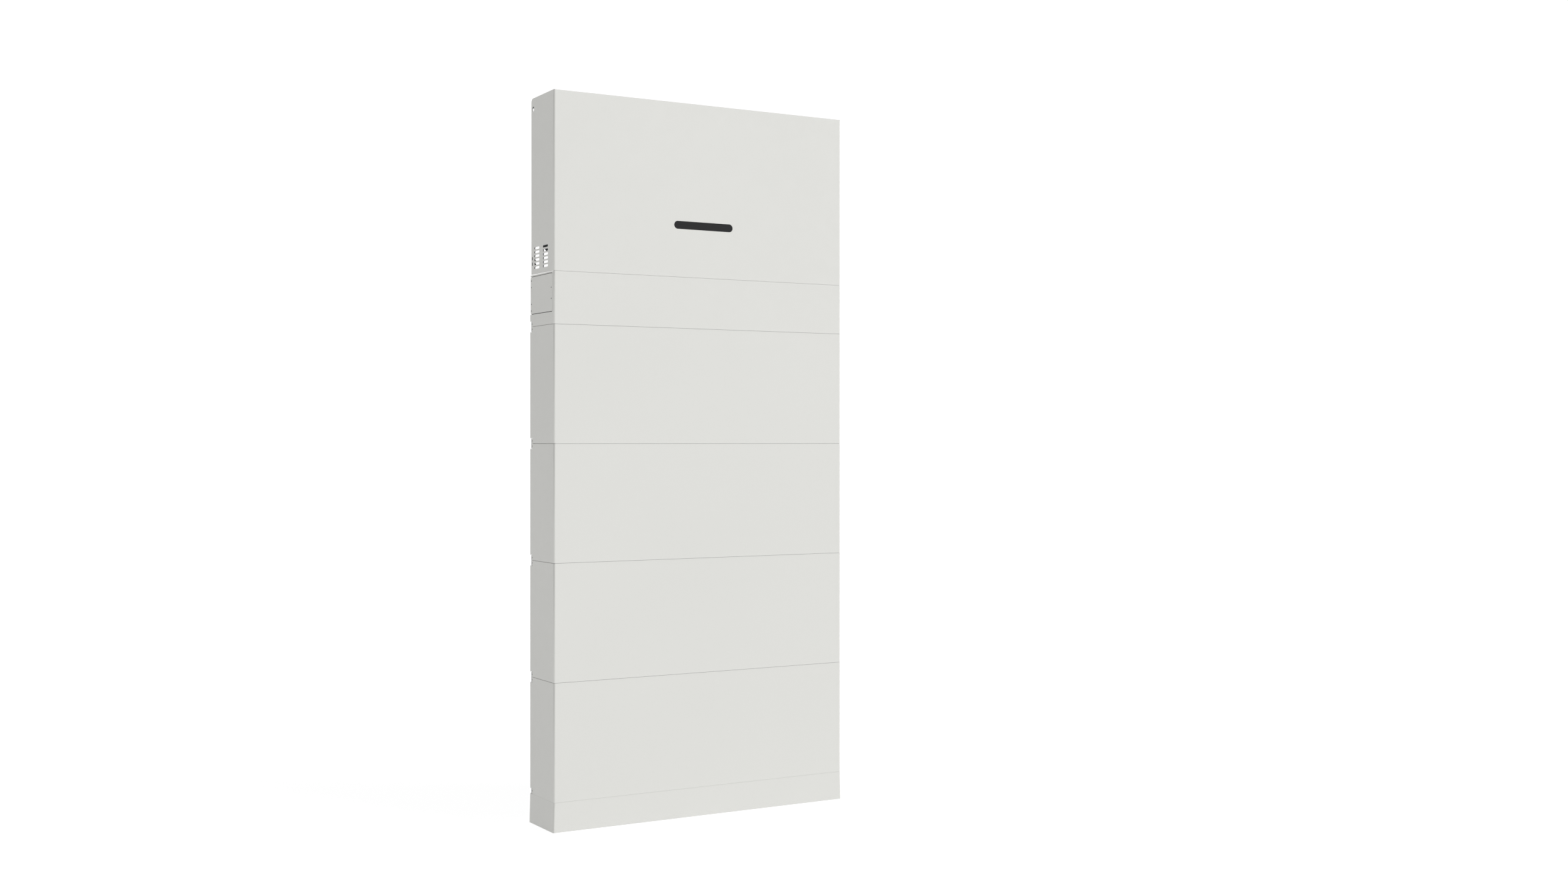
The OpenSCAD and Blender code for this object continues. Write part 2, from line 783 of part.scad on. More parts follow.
module inverter_front_cover() {
    color(paint) difference() {
        union() {
            sheet_y(inv_front, cover_plate_t) round_box([-inv_x, inv_z], [inv_x, inv_z + inverter_h], 14);
            sheet_y(inv_front - 2.5, 3)
                round_box([-inv_x + 22, inv_z + 40], [inv_x - 22, inv_z + inverter_h - 22], 10);
        }
        sheet_y(inv_front - 3, 2) round_box([-56, inv_z + 226], [56, inv_z + 266], 8);
    }
}

module display_window() {
    color(black) sheet_y(inv_front - 2.2, 1.2) round_box([-55.6, inv_z + 226.4], [55.6, inv_z + 265.6], 7.6);
}

module heat_sink() {
    gap = (inverter_w - 40) / (fin_count - 1);
    depth = plate_y - inv_mid - sink_base;
    color(alloy) {
        translate([-inv_x + 8, inv_mid, inv_z + 12]) cube([inverter_w - 16, sink_base, inverter_h - 24]);
        for (i = [0:fin_count - 1]) {
            reach = i == 0 || i == fin_count - 1 ? depth : depth - 4;
            translate([-inv_x + 20 + i * gap - fin_t / 2, inv_mid + sink_base - over, inv_z + 12])
                cube([fin_t, reach + over, inverter_h - 24]);
        }
    }
}

module power_board() {
    y = inv_mid - 12;
    color(board) {
        sheet_y(y, board_t) round_box([-inv_x + 16, inv_z + 16], [inv_x - 16, inv_z + inverter_h - 16], 4);
        for (x = [-1, 1], z = [26, inverter_h - 26]) rod_y(x * (inv_x - 26), y + 1, inv_z + z, 4, 7);
        for (x = [-180:40:-60]) translate([x, y - 20, inv_z + 210]) cube([22, 21, 60]);
        translate([60, y - 24, inv_z + 200]) cube([130, 25, 70]);
    }
}

module chokes() {
    color(copper) for (x = [-170, -90]) {
        translate([x, inv_mid - 12, inv_z + 110]) rotate([90, 0, 0]) rotate_extrude($fn = 64)
            translate([24, 11.5]) circle(11.5, $fn = 32);
    }
}

module capacitors() {
    color(cell_blue) for (i = [0:3], j = [0, 1]) {
        rod_y(20 + i * 38, inv_mid - 47, inv_z + 60 + j * 40, 15, 35);
    }
}

module pv_connectors() {
    color(black) for (i = [0:3]) translate([-190 + i * 34, inv_front + 32, inv_z]) {
        translate([0, 0, -4]) cylinder(r = 11, h = 4, $fn = 6);
        translate([0, 0, -26]) cylinder(r = 7.5, h = 23, $fn = 32);
        translate([0, 0, -14]) cylinder(r = 9, h = 5, $fn = 32);
    }
}

module ac_connectors() {
    color(black) for (x = [60, 130]) translate([x, inv_front + 32, inv_z]) {
        translate([0, 0, -5]) linear_extrude(5) round_box([-28, -24], [28, 24], 6);
        translate([0, 0, -24]) cylinder(r = 19, h = 20, $fn = 48);
        translate([0, 0, -34]) cylinder(r1 = 13, r2 = 18, h = 11, $fn = 48);
    }
}

module isolator_base() {
    color(black) difference() {
        union() {
            sheet_x(inv_x, 5)
                round_box([isolator_y - 25, isolator_z - 25], [isolator_y + 25, isolator_z + 25], 8);
            rod_x(inv_x + 4, isolator_y, isolator_z, 21, 6);
        }
        rod_x(inv_x + 2, isolator_y, isolator_z, 6.4, 12);
    }
}

module isolator_knob() {
    color(red) {
        rod_x(inv_x + 2.4, isolator_y, isolator_z, 6, knob_x - inv_x);
        rod_x(knob_x, isolator_y, isolator_z, knob_r, 9);
        translate([knob_x + 8, isolator_y - 4.5, isolator_z - knob_r + 1]) cube([15, 9, 2 * knob_r - 2]);
    }
}

// ---- Hood ----

module hood_vents() {
    for (i = [0:vent_rows - 1], y = vent_y) {
        translate([-hd + y, hood_z + vent_low + i * vent_pitch]) slot_2d(vent_l, vent_w);
    }
}

module hood_shell() {
    low_top = top_z - hood_fall;
    color(paint) difference() {
        union() {
            difference() {
                intersection() {
                    translate([0, 0, hood_z]) linear_extrude(hood_h) plan(body_w, -hd, hood_rear, edge_r);
                    sheet_x(-hw - over, body_w + 2 * over) difference() {
                        falling_outline(-hd, hood_rear, hood_z, top_z, low_top);
                        translate([hood_rear - hood_corner_r, low_top - hood_corner_r]) difference() {
                            square([hood_corner_r + over, hood_corner_r + over]);
                            circle(hood_corner_r, $fn = 48);
                        }
                    }
                }
                intersection() {
                    translate([0, 0, hood_z - over]) linear_extrude(hood_h)
                        plan(inner_w, -hd + sheet, hood_rear + over, inner_r);
                    sheet_x(-hw, body_w) falling_outline(-hd, hood_rear + over, hood_z - over,
                        top_z - sheet, low_top - sheet);
                }
            }
            translate([-hw + sheet + inner_r, -hd + sheet / 2, hood_z])
                cube([inner_w - 2 * inner_r, 11, sheet]);
        }
        sheet_y(-hd - over, badge_t + over) translate([0, badge_z]) slot_2d(badge_l + 0.4, badge_h + 0.4);
        sheet_x(-hw - over, body_w + 2 * over) {
            hood_vents();
            round_box([hook_y - 5, hook_z - 6.2], [hook_y + 5, hook_z + 6.2], 3.5);
            for (z = clip_z) translate([clip_y, z]) rotate(90) slot_2d(9.1, 4.4);
        }
    }
}

module hood_badge() {
    color(black) sheet_y(-hd + 0.1, badge_t - 0.1) translate([0, badge_z]) slot_2d(badge_l, badge_h);
}

plinth();
locating_pins();
stack_plugs();
stack_sockets();
link_blocks();
link_screws();
for (n = [1:module_count]) {
    module_case(n);
    module_rear_cover(n);
    module_cells(n);
    module_pack_frame(n);
    module_busbars(n);
    module_monitor_board(n);
}
control_case();
control_rear_cover();
control_board();
contactors();
breaker_body();
breaker_lever();
power_button();
status_lights();
terminal_blocks();
cable_glands();
mirror([1, 0, 0]) side_cover();  // left_side_cover
side_cover();  // right_side_cover
mirror([1, 0, 0]) side_cover_screws();  // left_cover_screws
side_cover_screws();  // right_cover_screws
wall_brackets();
wall_plate();
inverter_case();
inverter_front_cover();
heat_sink();
power_board();
chokes();
capacitors();
display_window();
pv_connectors();
ac_connectors();
isolator_base();
isolator_knob();
hood_shell();
hood_badge();
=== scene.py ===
"""Looks of the home battery stack: materials, small hardware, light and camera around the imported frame."""
import json
import math

import bmesh
import bpy
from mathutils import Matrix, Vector
from mathutils.geometry import tessellate_polygon


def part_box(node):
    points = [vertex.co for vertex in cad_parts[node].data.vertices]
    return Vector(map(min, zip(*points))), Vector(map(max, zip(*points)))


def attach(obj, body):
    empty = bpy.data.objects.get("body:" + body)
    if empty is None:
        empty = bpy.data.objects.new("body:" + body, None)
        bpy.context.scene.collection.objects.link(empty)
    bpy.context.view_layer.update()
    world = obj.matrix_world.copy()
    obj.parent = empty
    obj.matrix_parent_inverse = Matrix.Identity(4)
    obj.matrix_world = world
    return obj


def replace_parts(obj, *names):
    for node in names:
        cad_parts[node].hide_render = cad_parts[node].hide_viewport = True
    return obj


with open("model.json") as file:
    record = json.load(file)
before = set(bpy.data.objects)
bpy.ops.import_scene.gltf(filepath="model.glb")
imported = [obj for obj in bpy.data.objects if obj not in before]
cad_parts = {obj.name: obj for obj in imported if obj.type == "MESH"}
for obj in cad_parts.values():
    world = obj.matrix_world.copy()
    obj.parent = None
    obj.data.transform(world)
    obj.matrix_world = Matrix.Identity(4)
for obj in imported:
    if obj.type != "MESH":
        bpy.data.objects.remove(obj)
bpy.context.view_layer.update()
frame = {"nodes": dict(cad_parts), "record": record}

NODES = frame["nodes"]
MM = 0.001
MODULES = [1, 2, 3, 4]

# ---------------------------------------------------------------- places from the frame

def box_mm(node):
    """Lowest and highest corners of a CAD node, in millimetres."""
    low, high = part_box(node)
    return low / MM, high / MM


HOOD_LOW, HOOD_HIGH = box_mm("hood_shell")
CONTROL_LOW, CONTROL_HIGH = box_mm("control_case")
HALF = HOOD_HIGH.x              # from the middle to either side of the stack
FRONT = HOOD_LOW.y
REAR = CONTROL_HIGH.y
SHEET = 1.5                     # thickness of the painted sheet
EDGE_R = 4.0                    # bend radius of the upright front edges
NOTCH_FRONT = box_mm("link_blocks")[0].y - 0.2
SIDES = {-1: "left", 1: "right"}


def mid(low, high, axes):
    """Middle of a box on the axes named, such as "yz"."""
    return tuple((getattr(low, axis) + getattr(high, axis)) / 2 for axis in axes)


def side_span(low, high):
    """Side that a box lies on, and how far from the middle of the stack it begins and ends."""
    return (-1 if low.x < 0 else 1), *sorted((abs(low.x), abs(high.x)))


# ---------------------------------------------------------------- material helpers

class Shader:
    """A material with one Principled shader, and short calls for the nodes that feed it."""

    def __init__(self, name, **inputs):
        self.material = bpy.data.materials.new(name)
        self.material.use_nodes = True
        self.tree = self.material.node_tree
        self.tree.nodes.clear()
        output = self.tree.nodes.new("ShaderNodeOutputMaterial")
        self.shader = self.tree.nodes.new("ShaderNodeBsdfPrincipled")
        self.tree.links.new(self.shader.outputs[0], output.inputs[0])
        for key, value in inputs.items():
            self.shader.inputs[key.replace("_", " ")].default_value = value
        self.coords = self.tree.nodes.new("ShaderNodeTexCoord").outputs["Object"]

    def link(self, source, socket):
        """Feeds a socket of the Principled shader."""
        self.tree.links.new(source, self.shader.inputs[socket])

    def node(self, kind, **inputs):
        """A new node, with a value or a link on each input named."""
        made = self.tree.nodes.new(kind)
        for key, value in inputs.items():
            socket = made.inputs[key.replace("_", " ")]
            if hasattr(value, "is_output"):
                self.tree.links.new(value, socket)
            else:
                socket.default_value = value
        return made

    def scaled(self, scale):
        """Object coordinates stretched by a factor for each axis."""
        return self.node("ShaderNodeMapping", Vector=self.coords, Scale=scale).outputs[0]

    def noise(self, scale, detail=3.0, rough=0.5, vector=None):
        """Soft noise from 0 to 1, at a scale per metre."""
        return self.node("ShaderNodeTexNoise", Vector=vector or self.coords, Scale=scale,
                         Detail=detail, Roughness=rough).outputs["Fac"]

    def spread(self, fac, low, high, out_low=0.0, out_high=1.0):
        """Maps fac from low..high to out_low..out_high, held at the ends."""
        return self.node("ShaderNodeMapRange", Value=fac, From_Min=low, From_Max=high,
                         To_Min=out_low, To_Max=out_high).outputs[0]

    def blend(self, fac, first, second):
        """Colour between two, by fac."""
        mixed = self.tree.nodes.new("ShaderNodeMix")
        mixed.data_type = "RGBA"
        for index, value in ((0, fac), (6, first), (7, second)):
            if hasattr(value, "is_output"):
                self.tree.links.new(value, mixed.inputs[index])
            else:
                mixed.inputs[index].default_value = value if index == 0 else (*value, 1.0)
        return mixed.outputs[2]

    def bump(self, height, strength, distance, normal=None):
        """Normal from a height, on top of another normal where there is one."""
        made = self.node("ShaderNodeBump", Height=height, Strength=strength, Distance=distance)
        if normal is not None:
            self.tree.links.new(normal, made.inputs["Normal"])
        return made.outputs[0]


def srgb(r, g, b):
    """Linear colour from 0..255 display values."""
    def linear(v):
        v = v / 255
        return v / 12.92 if v <= 0.04045 else ((v + 0.055) / 1.055) ** 2.4
    return tuple(linear(v) for v in (r, g, b))


def powder_coat(name, colour):
    """Fine-textured powder coat: tiny orange peel, faint mottling, slightly uneven gloss."""
    s = Shader(name, Roughness=0.5, Specular_IOR_Level=0.38)
    broad = s.noise(2.2, 2.0)
    fine = s.noise(620.0, 2.0, 0.6)
    dark = tuple(0.992 * c for c in colour)
    light = tuple(min(1.0, 1.006 * c) for c in colour)
    tone = s.blend(s.spread(broad, 0.3, 0.7), dark, light)
    speck = tuple(0.86 * c for c in colour)
    s.link(s.blend(s.spread(fine, 0.60, 0.80, 0.0, 0.35), tone, speck), "Base Color")
    s.link(s.spread(s.noise(45.0, 3.0), 0.3, 0.7, 0.46, 0.56), "Roughness")
    peel = s.bump(s.noise(520.0, 2.0, 0.55), 0.22, 0.00012)
    s.link(s.bump(s.noise(70.0, 2.0), 0.05, 0.0005, peel), "Normal")
    return s.material


def zinc_sheet(name):
    """Zinc-plated sheet: soft spangle, rolling marks and a satin sheen."""
    s = Shader(name, Roughness=0.36, Metallic=1.0)
    cells = s.node("ShaderNodeTexVoronoi", Vector=s.coords, Scale=120.0).outputs["Color"]
    spangle = s.node("ShaderNodeSeparateColor", Color=cells).outputs[0]
    rolling = s.noise(60.0, 4.0, 0.6, s.scaled((0.15, 1.0, 12.0)))
    tone = s.blend(spangle, srgb(155, 159, 163), srgb(171, 174, 177))
    s.link(s.blend(s.spread(rolling, 0.35, 0.75, 0.0, 0.5), tone, srgb(134, 138, 142)), "Base Color")
    s.link(s.spread(spangle, 0.0, 1.0, 0.33, 0.41), "Roughness")
    s.link(s.bump(rolling, 0.10, 0.0002), "Normal")
    return s.material


def cast_alloy(name):
    """Bead-blasted die casting."""
    s = Shader(name, Roughness=0.48, Metallic=1.0)
    grain = s.noise(900.0, 3.0, 0.65)
    cloud = s.noise(9.0, 3.0)
    s.link(s.blend(s.spread(cloud, 0.3, 0.7), srgb(160, 162, 165), srgb(182, 183, 185)), "Base Color")
    s.link(s.spread(grain, 0.3, 0.7, 0.42, 0.58), "Roughness")
    s.link(s.bump(grain, 0.35, 0.0002), "Normal")
    return s.material


def moulded(name, colour, roughness=0.45, texture=1.0, gloss=0.5):
    """Moulded plastic with a fine spark-eroded grain and a faint flow pattern."""
    s = Shader(name, Roughness=roughness, Specular_IOR_Level=gloss)
    grain = s.noise(1500.0, 2.0, 0.6)
    flow = s.noise(14.0, 4.0, 0.6, s.scaled((1.0, 1.0, 0.3)))
    light = tuple(min(1.0, c * 1.25 + 0.004) for c in colour)
    s.link(s.blend(s.spread(flow, 0.35, 0.75), colour, light), "Base Color")
    s.link(s.spread(flow, 0.3, 0.7, roughness - 0.05, roughness + 0.07), "Roughness")
    s.link(s.bump(grain, 0.30 * texture, 0.0001), "Normal")
    return s.material


def plated_steel(name):
    """Plated fastener: fine turning marks and darker stains."""
    s = Shader(name, Roughness=0.32, Metallic=1.0)
    stains = s.noise(260.0, 4.0, 0.65)
    s.link(s.blend(s.spread(stains, 0.35, 0.7), srgb(150, 151, 152), srgb(104, 104, 104)), "Base Color")
    s.link(s.spread(stains, 0.3, 0.7, 0.26, 0.46), "Roughness")
    s.link(s.bump(s.noise(1800.0, 2.0), 0.2, 0.0001), "Normal")
    return s.material


def copper_bar(name):
    """Bare copper: brushed along X, with darker heat and finger marks."""
    s = Shader(name, Roughness=0.33, Metallic=1.0)
    brushed = s.noise(900.0, 2.0, 0.6, s.scaled((0.05, 1.0, 1.0)))
    marks = s.noise(35.0, 4.0, 0.6)
    s.link(s.blend(s.spread(marks, 0.4, 0.75), srgb(214, 142, 104), srgb(150, 88, 60)), "Base Color")
    s.link(s.spread(brushed, 0.3, 0.7, 0.25, 0.42), "Roughness")
    s.link(s.bump(brushed, 0.25, 0.0001), "Normal")
    return s.material


def circuit_board(name):
    """Solder mask over faint tracks."""
    s = Shader(name, Roughness=0.3, Coat_Weight=0.4, Coat_Roughness=0.15)
    tracks = s.node("ShaderNodeTexBrick", Vector=s.coords, Scale=60.0)
    weave = s.noise(700.0, 2.0)
    lines = s.spread(tracks.outputs["Fac"], 0.0, 1.0, 0.0, 0.6)
    mask = s.blend(s.spread(weave, 0.3, 0.7), srgb(18, 74, 44), srgb(24, 92, 54))
    s.link(s.blend(lines, mask, srgb(52, 132, 78)), "Base Color")
    s.link(s.bump(tracks.outputs["Fac"], 0.2, 0.0002), "Normal")
    return s.material


def rubber(name):
    """Matt black rubber with a little dust on it."""
    s = Shader(name, Roughness=0.75, Specular_IOR_Level=0.3)
    dust = s.noise(90.0, 4.0, 0.65)
    s.link(s.blend(s.spread(dust, 0.45, 0.8), srgb(28, 28, 29), srgb(52, 52, 52)), "Base Color")
    s.link(s.bump(s.noise(1100.0, 2.0), 0.25, 0.0001), "Normal")
    return s.material


def film(name, colour):
    """Shrink sleeve on a cell or capacitor, with soft wrinkles."""
    s = Shader(name, Roughness=0.34, Coat_Weight=0.3, Coat_Roughness=0.2)
    wrinkles = s.noise(55.0, 5.0, 0.6, s.scaled((1.0, 1.0, 0.35)))
    light = tuple(min(1.0, c * 1.3 + 0.01) for c in colour)
    s.link(s.blend(s.spread(wrinkles, 0.35, 0.75), colour, light), "Base Color")
    s.link(s.spread(wrinkles, 0.3, 0.7, 0.28, 0.42), "Roughness")
    s.link(s.bump(wrinkles, 0.25, 0.0006), "Normal")
    return s.material


def smoked_window(name):
    """Dark glossy pane with a faint haze."""
    s = Shader(name, Roughness=0.08, Coat_Weight=1.0, Coat_Roughness=0.03)
    haze = s.noise(24.0, 4.0)
    s.link(s.blend(s.spread(haze, 0.3, 0.8), srgb(10, 11, 13), srgb(20, 22, 26)), "Base Color")
    s.link(s.spread(haze, 0.3, 0.8, 0.05, 0.14), "Roughness")
    return s.material


def lens(name):
    """Green light diffuser."""
    s = Shader(name, Roughness=0.2, Transmission_Weight=0.25, Coat_Weight=0.6)
    glow = s.noise(300.0, 2.0)
    s.link(s.blend(s.spread(glow, 0.3, 0.7), srgb(128, 196, 140), srgb(168, 226, 176)), "Base Color")
    s.link(s.bump(glow, 0.1, 0.0002), "Normal")
    return s.material


def badge_face(name):
    """Matt black moulded plate with a very fine horizontal brush."""
    s = Shader(name, Roughness=0.6, Specular_IOR_Level=0.18)
    brushed = s.noise(1300.0, 2.0, 0.5, s.scaled((0.04, 1.0, 1.0)))
    s.link(s.blend(s.spread(brushed, 0.3, 0.7), srgb(24, 24, 25), srgb(36, 36, 37)), "Base Color")
    s.link(s.spread(brushed, 0.3, 0.7, 0.52, 0.68), "Roughness")
    s.link(s.bump(brushed, 0.15, 0.0001), "Normal")
    return s.material


def studio_floor(name, colour, glow):
    """Floor that shines by itself, so that it blends into the bright background."""
    s = Shader(name, Roughness=0.9, Specular_IOR_Level=0.0, Emission_Color=(1.0, 1.0, 1.0, 1.0),
               Emission_Strength=glow)
    grain = s.noise(4.0, 3.0)
    s.link(s.blend(s.spread(grain, 0.3, 0.7), colour, tuple(0.985 * c for c in colour)), "Base Color")
    return s.material


PAINT = powder_coat("painted_sheet", srgb(213, 213, 209))
ZINC = zinc_sheet("zinc_sheet")
ALLOY = cast_alloy("cast_alloy")
BLACK = moulded("black_plastic", srgb(34, 34, 36), 0.46)
GREY = moulded("grey_plastic", srgb(172, 174, 176), 0.42)
RED = moulded("red_plastic", srgb(188, 30, 24), 0.32, 0.4)
STEEL = plated_steel("fastener_steel")
COPPER = copper_bar("copper")
BOARD = circuit_board("circuit_board")
CELL = film("cell_sleeve", srgb(38, 82, 148))
CAPACITOR = film("capacitor_sleeve", srgb(26, 30, 42))
WINDOW = smoked_window("dark_glass")
LENS = lens("light_lens")
BADGE = badge_face("badge_plastic")
RUBBER = rubber("black_rubber")
# The seal tones are painted shade: each is set to how dark its seam line looks, so one rubber comes in three
# tones.
GREY_SHADE_SEAL = moulded("grey_shade_seal", srgb(148, 148, 148), 0.7, 1.0, 0.2)
PALE_SHADE_SEAL = moulded("pale_shade_seal", srgb(202, 202, 200), 0.7, 1.0, 0.2)
PLINTH_SHADE_SEAL = moulded("plinth_shade_seal", srgb(174, 174, 172), 0.7, 1.0, 0.2)
# Dark grey plastic; where it lines the vent and clip slots, its dark tone is painted shade.
DARK_GREY_AND_SHADE = moulded("dark_grey_plastic_and_shade", srgb(96, 97, 98), 0.5)

SLOT_MATERIALS = {
    "painted_sheet": PAINT, "zinc_sheet": ZINC, "cast_alloy": ALLOY, "black_plastic": BLACK,
    "grey_plastic": GREY, "red_plastic": RED, "fastener_steel": STEEL, "copper": COPPER,
    "circuit_board": BOARD, "cell_sleeve": CELL, "capacitor_sleeve": CAPACITOR,
    "dark_glass": WINDOW, "light_lens": LENS, "badge_plastic": BADGE,
}


def paint_frame():
    """Every CAD node takes the finish of its slot in the record."""
    for part in frame["record"]["subparts"]:
        node = NODES[part["node"]]
        finish = SLOT_MATERIALS[part["material_slot"]]
        if not node.material_slots:
            node.data.materials.append(finish)
        for entry in node.material_slots:
            entry.material = finish


def soften(made, width):
    """Small edge radii, in millimetres, by modifiers only, so that a CAD node keeps its mesh."""
    weld = made.modifiers.new("weld", "WELD")
    weld.merge_threshold = 0.01 * MM
    bevel = made.modifiers.new("bevel", "BEVEL")
    bevel.width = width * MM
    bevel.segments = 2
    bevel.limit_method = "ANGLE"
    bevel.angle_limit = math.radians(35)
    bevel.use_clamp_overlap = True
    bevel.harden_normals = True


# ---------------------------------------------------------------- mesh helpers, in millimetres

def spot(axis, along, p):
    """Point at a place along an axis, with p in the plane across it."""
    if axis == "x":
        return along, p[0], p[1]
    if axis == "y":
        return p[0], along, p[1]
    return p[0], p[1], along


def hexagon(turn):
    """Radius of a hexagon with its corners at 1, at a place round it from 0 to 1."""
    return math.cos(math.radians(30)) / math.cos(math.radians(turn * 360 % 60 - 30))


def cross(turn):
    """Radius of a four-lobed drive recess."""
    return 0.42 + 0.58 * abs(math.cos(2 * math.pi * 2 * turn)) ** 3


def arc(centre, radius, first, last, steps=8):
    """Points along an arc, or evenly round a circle, in degrees from first to last."""
    turns = [math.radians(first + (last - first) * i / steps) for i in range(steps + 1)]
    return [(centre[0] + radius * math.cos(a), centre[1] + radius * math.sin(a)) for a in turns]


def round_rect(low, high, radius):
    """Rectangle with round corners, five steps to each."""
    x0, y0, x1, y1 = low[0] + radius, low[1] + radius, high[0] - radius, high[1] - radius
    corners = [((x1, y0), -90), ((x1, y1), 0), ((x0, y1), 90), ((x0, y0), 180)]
    return [p for centre, turn in corners for p in arc(centre, radius, turn, turn + 90, 5)]


def slot_outline(centre, length, width, upright=False):
    """Slot with round ends, along the first axis, or along the second where it is upright."""
    half = (length - width) / 2
    across, along = (0, half) if upright else (half, 0)
    first = 0 if upright else -90
    ends = [((centre[0] + across, centre[1] + along), first),
            ((centre[0] - across, centre[1] - along), first + 180)]
    return [p for end, turn in ends for p in arc(end, width / 2, turn, turn + 180)]


def slab(side, inner, outer):
    """Start and depth along X of a plate between two distances from the middle, on one side."""
    return (inner if side > 0 else -outer), outer - inner


def stadium_ring(place, length, width, wall, upright=False):
    """Outline and hole of a ring with round ends."""
    return (slot_outline(place, length, width, upright),
            [slot_outline(place, length - 2 * wall, width - 2 * wall, upright)])


class Piece:
    """A mesh built up from small solids. Its sizes are in millimetres until it is finished."""

    def __init__(self, name):
        self.name = name
        self.mesh = bmesh.new()

    def plate(self, axis, start, depth, outline, holes=()):
        """Flat plate of an outline with holes, as deep along an axis as given."""
        loops = [outline, *holes]
        flat = [p for loop in loops for p in loop]
        low = [self.mesh.verts.new(spot(axis, start, p)) for p in flat]
        high = [self.mesh.verts.new(spot(axis, start + depth, p)) for p in flat]
        if holes:
            faces = tessellate_polygon([[Vector((*p, 0.0)) for p in loop] for loop in loops])
        else:
            faces = [range(len(flat))]
        for face in faces:
            self.mesh.faces.new([low[i] for i in face])
            self.mesh.faces.new([high[i] for i in reversed(face)])
        first = 0
        for loop in loops:
            for i in range(len(loop)):
                here, after = first + i, first + (i + 1) % len(loop)
                self.mesh.faces.new((low[here], low[after], high[after], high[here]))
            first += len(loop)

    def loft(self, rings):
        """Skin from each ring to the next, closed at both ends."""
        for before, after in zip(rings, rings[1:]):
            for i in range(len(before)):
                j = (i + 1) % len(before)
                self.mesh.faces.new((before[i], before[j], after[j], after[i]))
        self.mesh.faces.new(rings[0])
        self.mesh.faces.new(rings[-1])

    def turned(self, axis, centre, profile, sides=24):
        """Rings round an axis. A profile entry is a place, a radius and, where it isn't round, its shape."""
        rings = []
        for along, radius, *shape in profile:
            ring = []
            for i in range(sides):
                reach = radius * (shape[0](i / sides) if shape else 1.0)
                angle = 2 * math.pi * i / sides
                p = (centre[0] + reach * math.cos(angle), centre[1] + reach * math.sin(angle))
                ring.append(self.mesh.verts.new(spot(axis, along, p)))
            rings.append(ring)
        self.loft(rings)

    def swept(self, path, profile):
        """Closed profile of (outward, up) points, carried along a path of (place, outward direction)."""
        rings = []
        for (x, y), (nx, ny) in path:
            rings.append([self.mesh.verts.new((x + nx * out, y + ny * out, up)) for out, up in profile])
        self.loft(rings)

    def finish(self, body, material, slot, bevel=0.0):
        """Makes the object and rides it on its body; the slot it is given is not used. Bevel is in
        millimetres.
        """
        bmesh.ops.recalc_face_normals(self.mesh, faces=self.mesh.faces)
        for vertex in self.mesh.verts:
            vertex.co *= MM
        for face in self.mesh.faces:
            face.smooth = True
        for edge in self.mesh.edges:
            edge.smooth = edge.calc_face_angle(0.0) < math.radians(32)
        data = bpy.data.meshes.new(self.name)
        self.mesh.to_mesh(data)
        self.mesh.free()
        data.materials.append(material)
        made = bpy.data.objects.new(self.name, data)
        bpy.context.scene.collection.objects.link(made)
        if bevel:
            soften(made, bevel)
        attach(made, body)
        return made


def solids(node):
    """Low and high corners, in millimetres, of each separate solid of a CAD node."""
    mesh = NODES[node].data
    places = {}
    numbers = []
    for vertex in mesh.vertices:
        numbers.append(places.setdefault(tuple(round(c, 5) for c in vertex.co), len(places)))
    leader = list(range(len(places)))

    def find(i):
        """Number that stands for the whole solid of a vertex."""
        while leader[i] != i:
            leader[i] = leader[leader[i]]
            i = leader[i]
        return i

    for polygon in mesh.polygons:
        first = find(numbers[polygon.vertices[0]])
        for corner in polygon.vertices[1:]:
            leader[find(numbers[corner])] = first
    groups = {}
    for place, number in places.items():
        groups.setdefault(find(number), []).append(place)
    boxes = []
    for points in groups.values():
        low = Vector(min(p[i] for p in points) for i in range(3)) / MM
        high = Vector(max(p[i] for p in points) for i in range(3)) / MM
        boxes.append((low, high))
    return sorted(boxes, key=lambda b: (round(b[0].x), round(b[0].y), round(b[0].z)))


def pan_head(face, out, radius, height, recess=cross):
    """Profile of a domed screw head that stands out of a face, with its drive recess."""
    steps = [(0.0, 1.0), (0.45, 1.0), (0.8, 0.88), (1.0, 0.64)]
    profile = [(face + out * height * up, radius * wide) for up, wide in steps]
    for up, wide in ((1.0, 0.56), (0.35, 0.42)):
        profile.append((face + out * height * up, radius * wide, recess))
    return profile


def hex_bolt(face, out, radius, height):
    """Profile of a washer and a hexagon head above it."""
    washer = 0.22 * height
    return [(face, 1.5 * radius), (face + out * washer, 1.5 * radius), (face + out * washer, radius, hexagon),
            (face + out * 0.9 * height, radius, hexagon), (face + out * height, 0.9 * radius),
            (face + out * height, 0.5 * radius), (face + out * 0.93 * height, 0.45 * radius)]


# ---------------------------------------------------------------- seals and strips

def footprint(side_inset, front_inset=0.45):
    """Path round the left side, the front and the right side of a unit, set back from its faces."""
    path = [((-HALF + side_inset, NOTCH_FRONT), (-1.0, 0.0))]
    for side, first in ((-1, 180), (1, 270)):
        for turn in range(first, first + 91, 9):
            nx, ny = math.cos(math.radians(turn)), math.sin(math.radians(turn))
            radius = EDGE_R - side_inset * nx * nx - front_inset * ny * ny
            path.append(((side * (HALF - EDGE_R) + radius * nx, FRONT + EDGE_R + radius * ny), (nx, ny)))
    path.append(((HALF - side_inset, NOTCH_FRONT), (1.0, 0.0)))
    return path


def seal_profile(low, high, depth):
    """Rubber lip with a soft round nose, which the two units press between them."""
    level, rise = (low + high) / 2, (high - low) / 2
    nose = [(rise * 0.5 * math.cos(a), level + rise * math.sin(a))
            for a in (math.radians(-90 + 30 * i) for i in range(7))]
    return [(-depth, low), *nose, (-depth, high)]


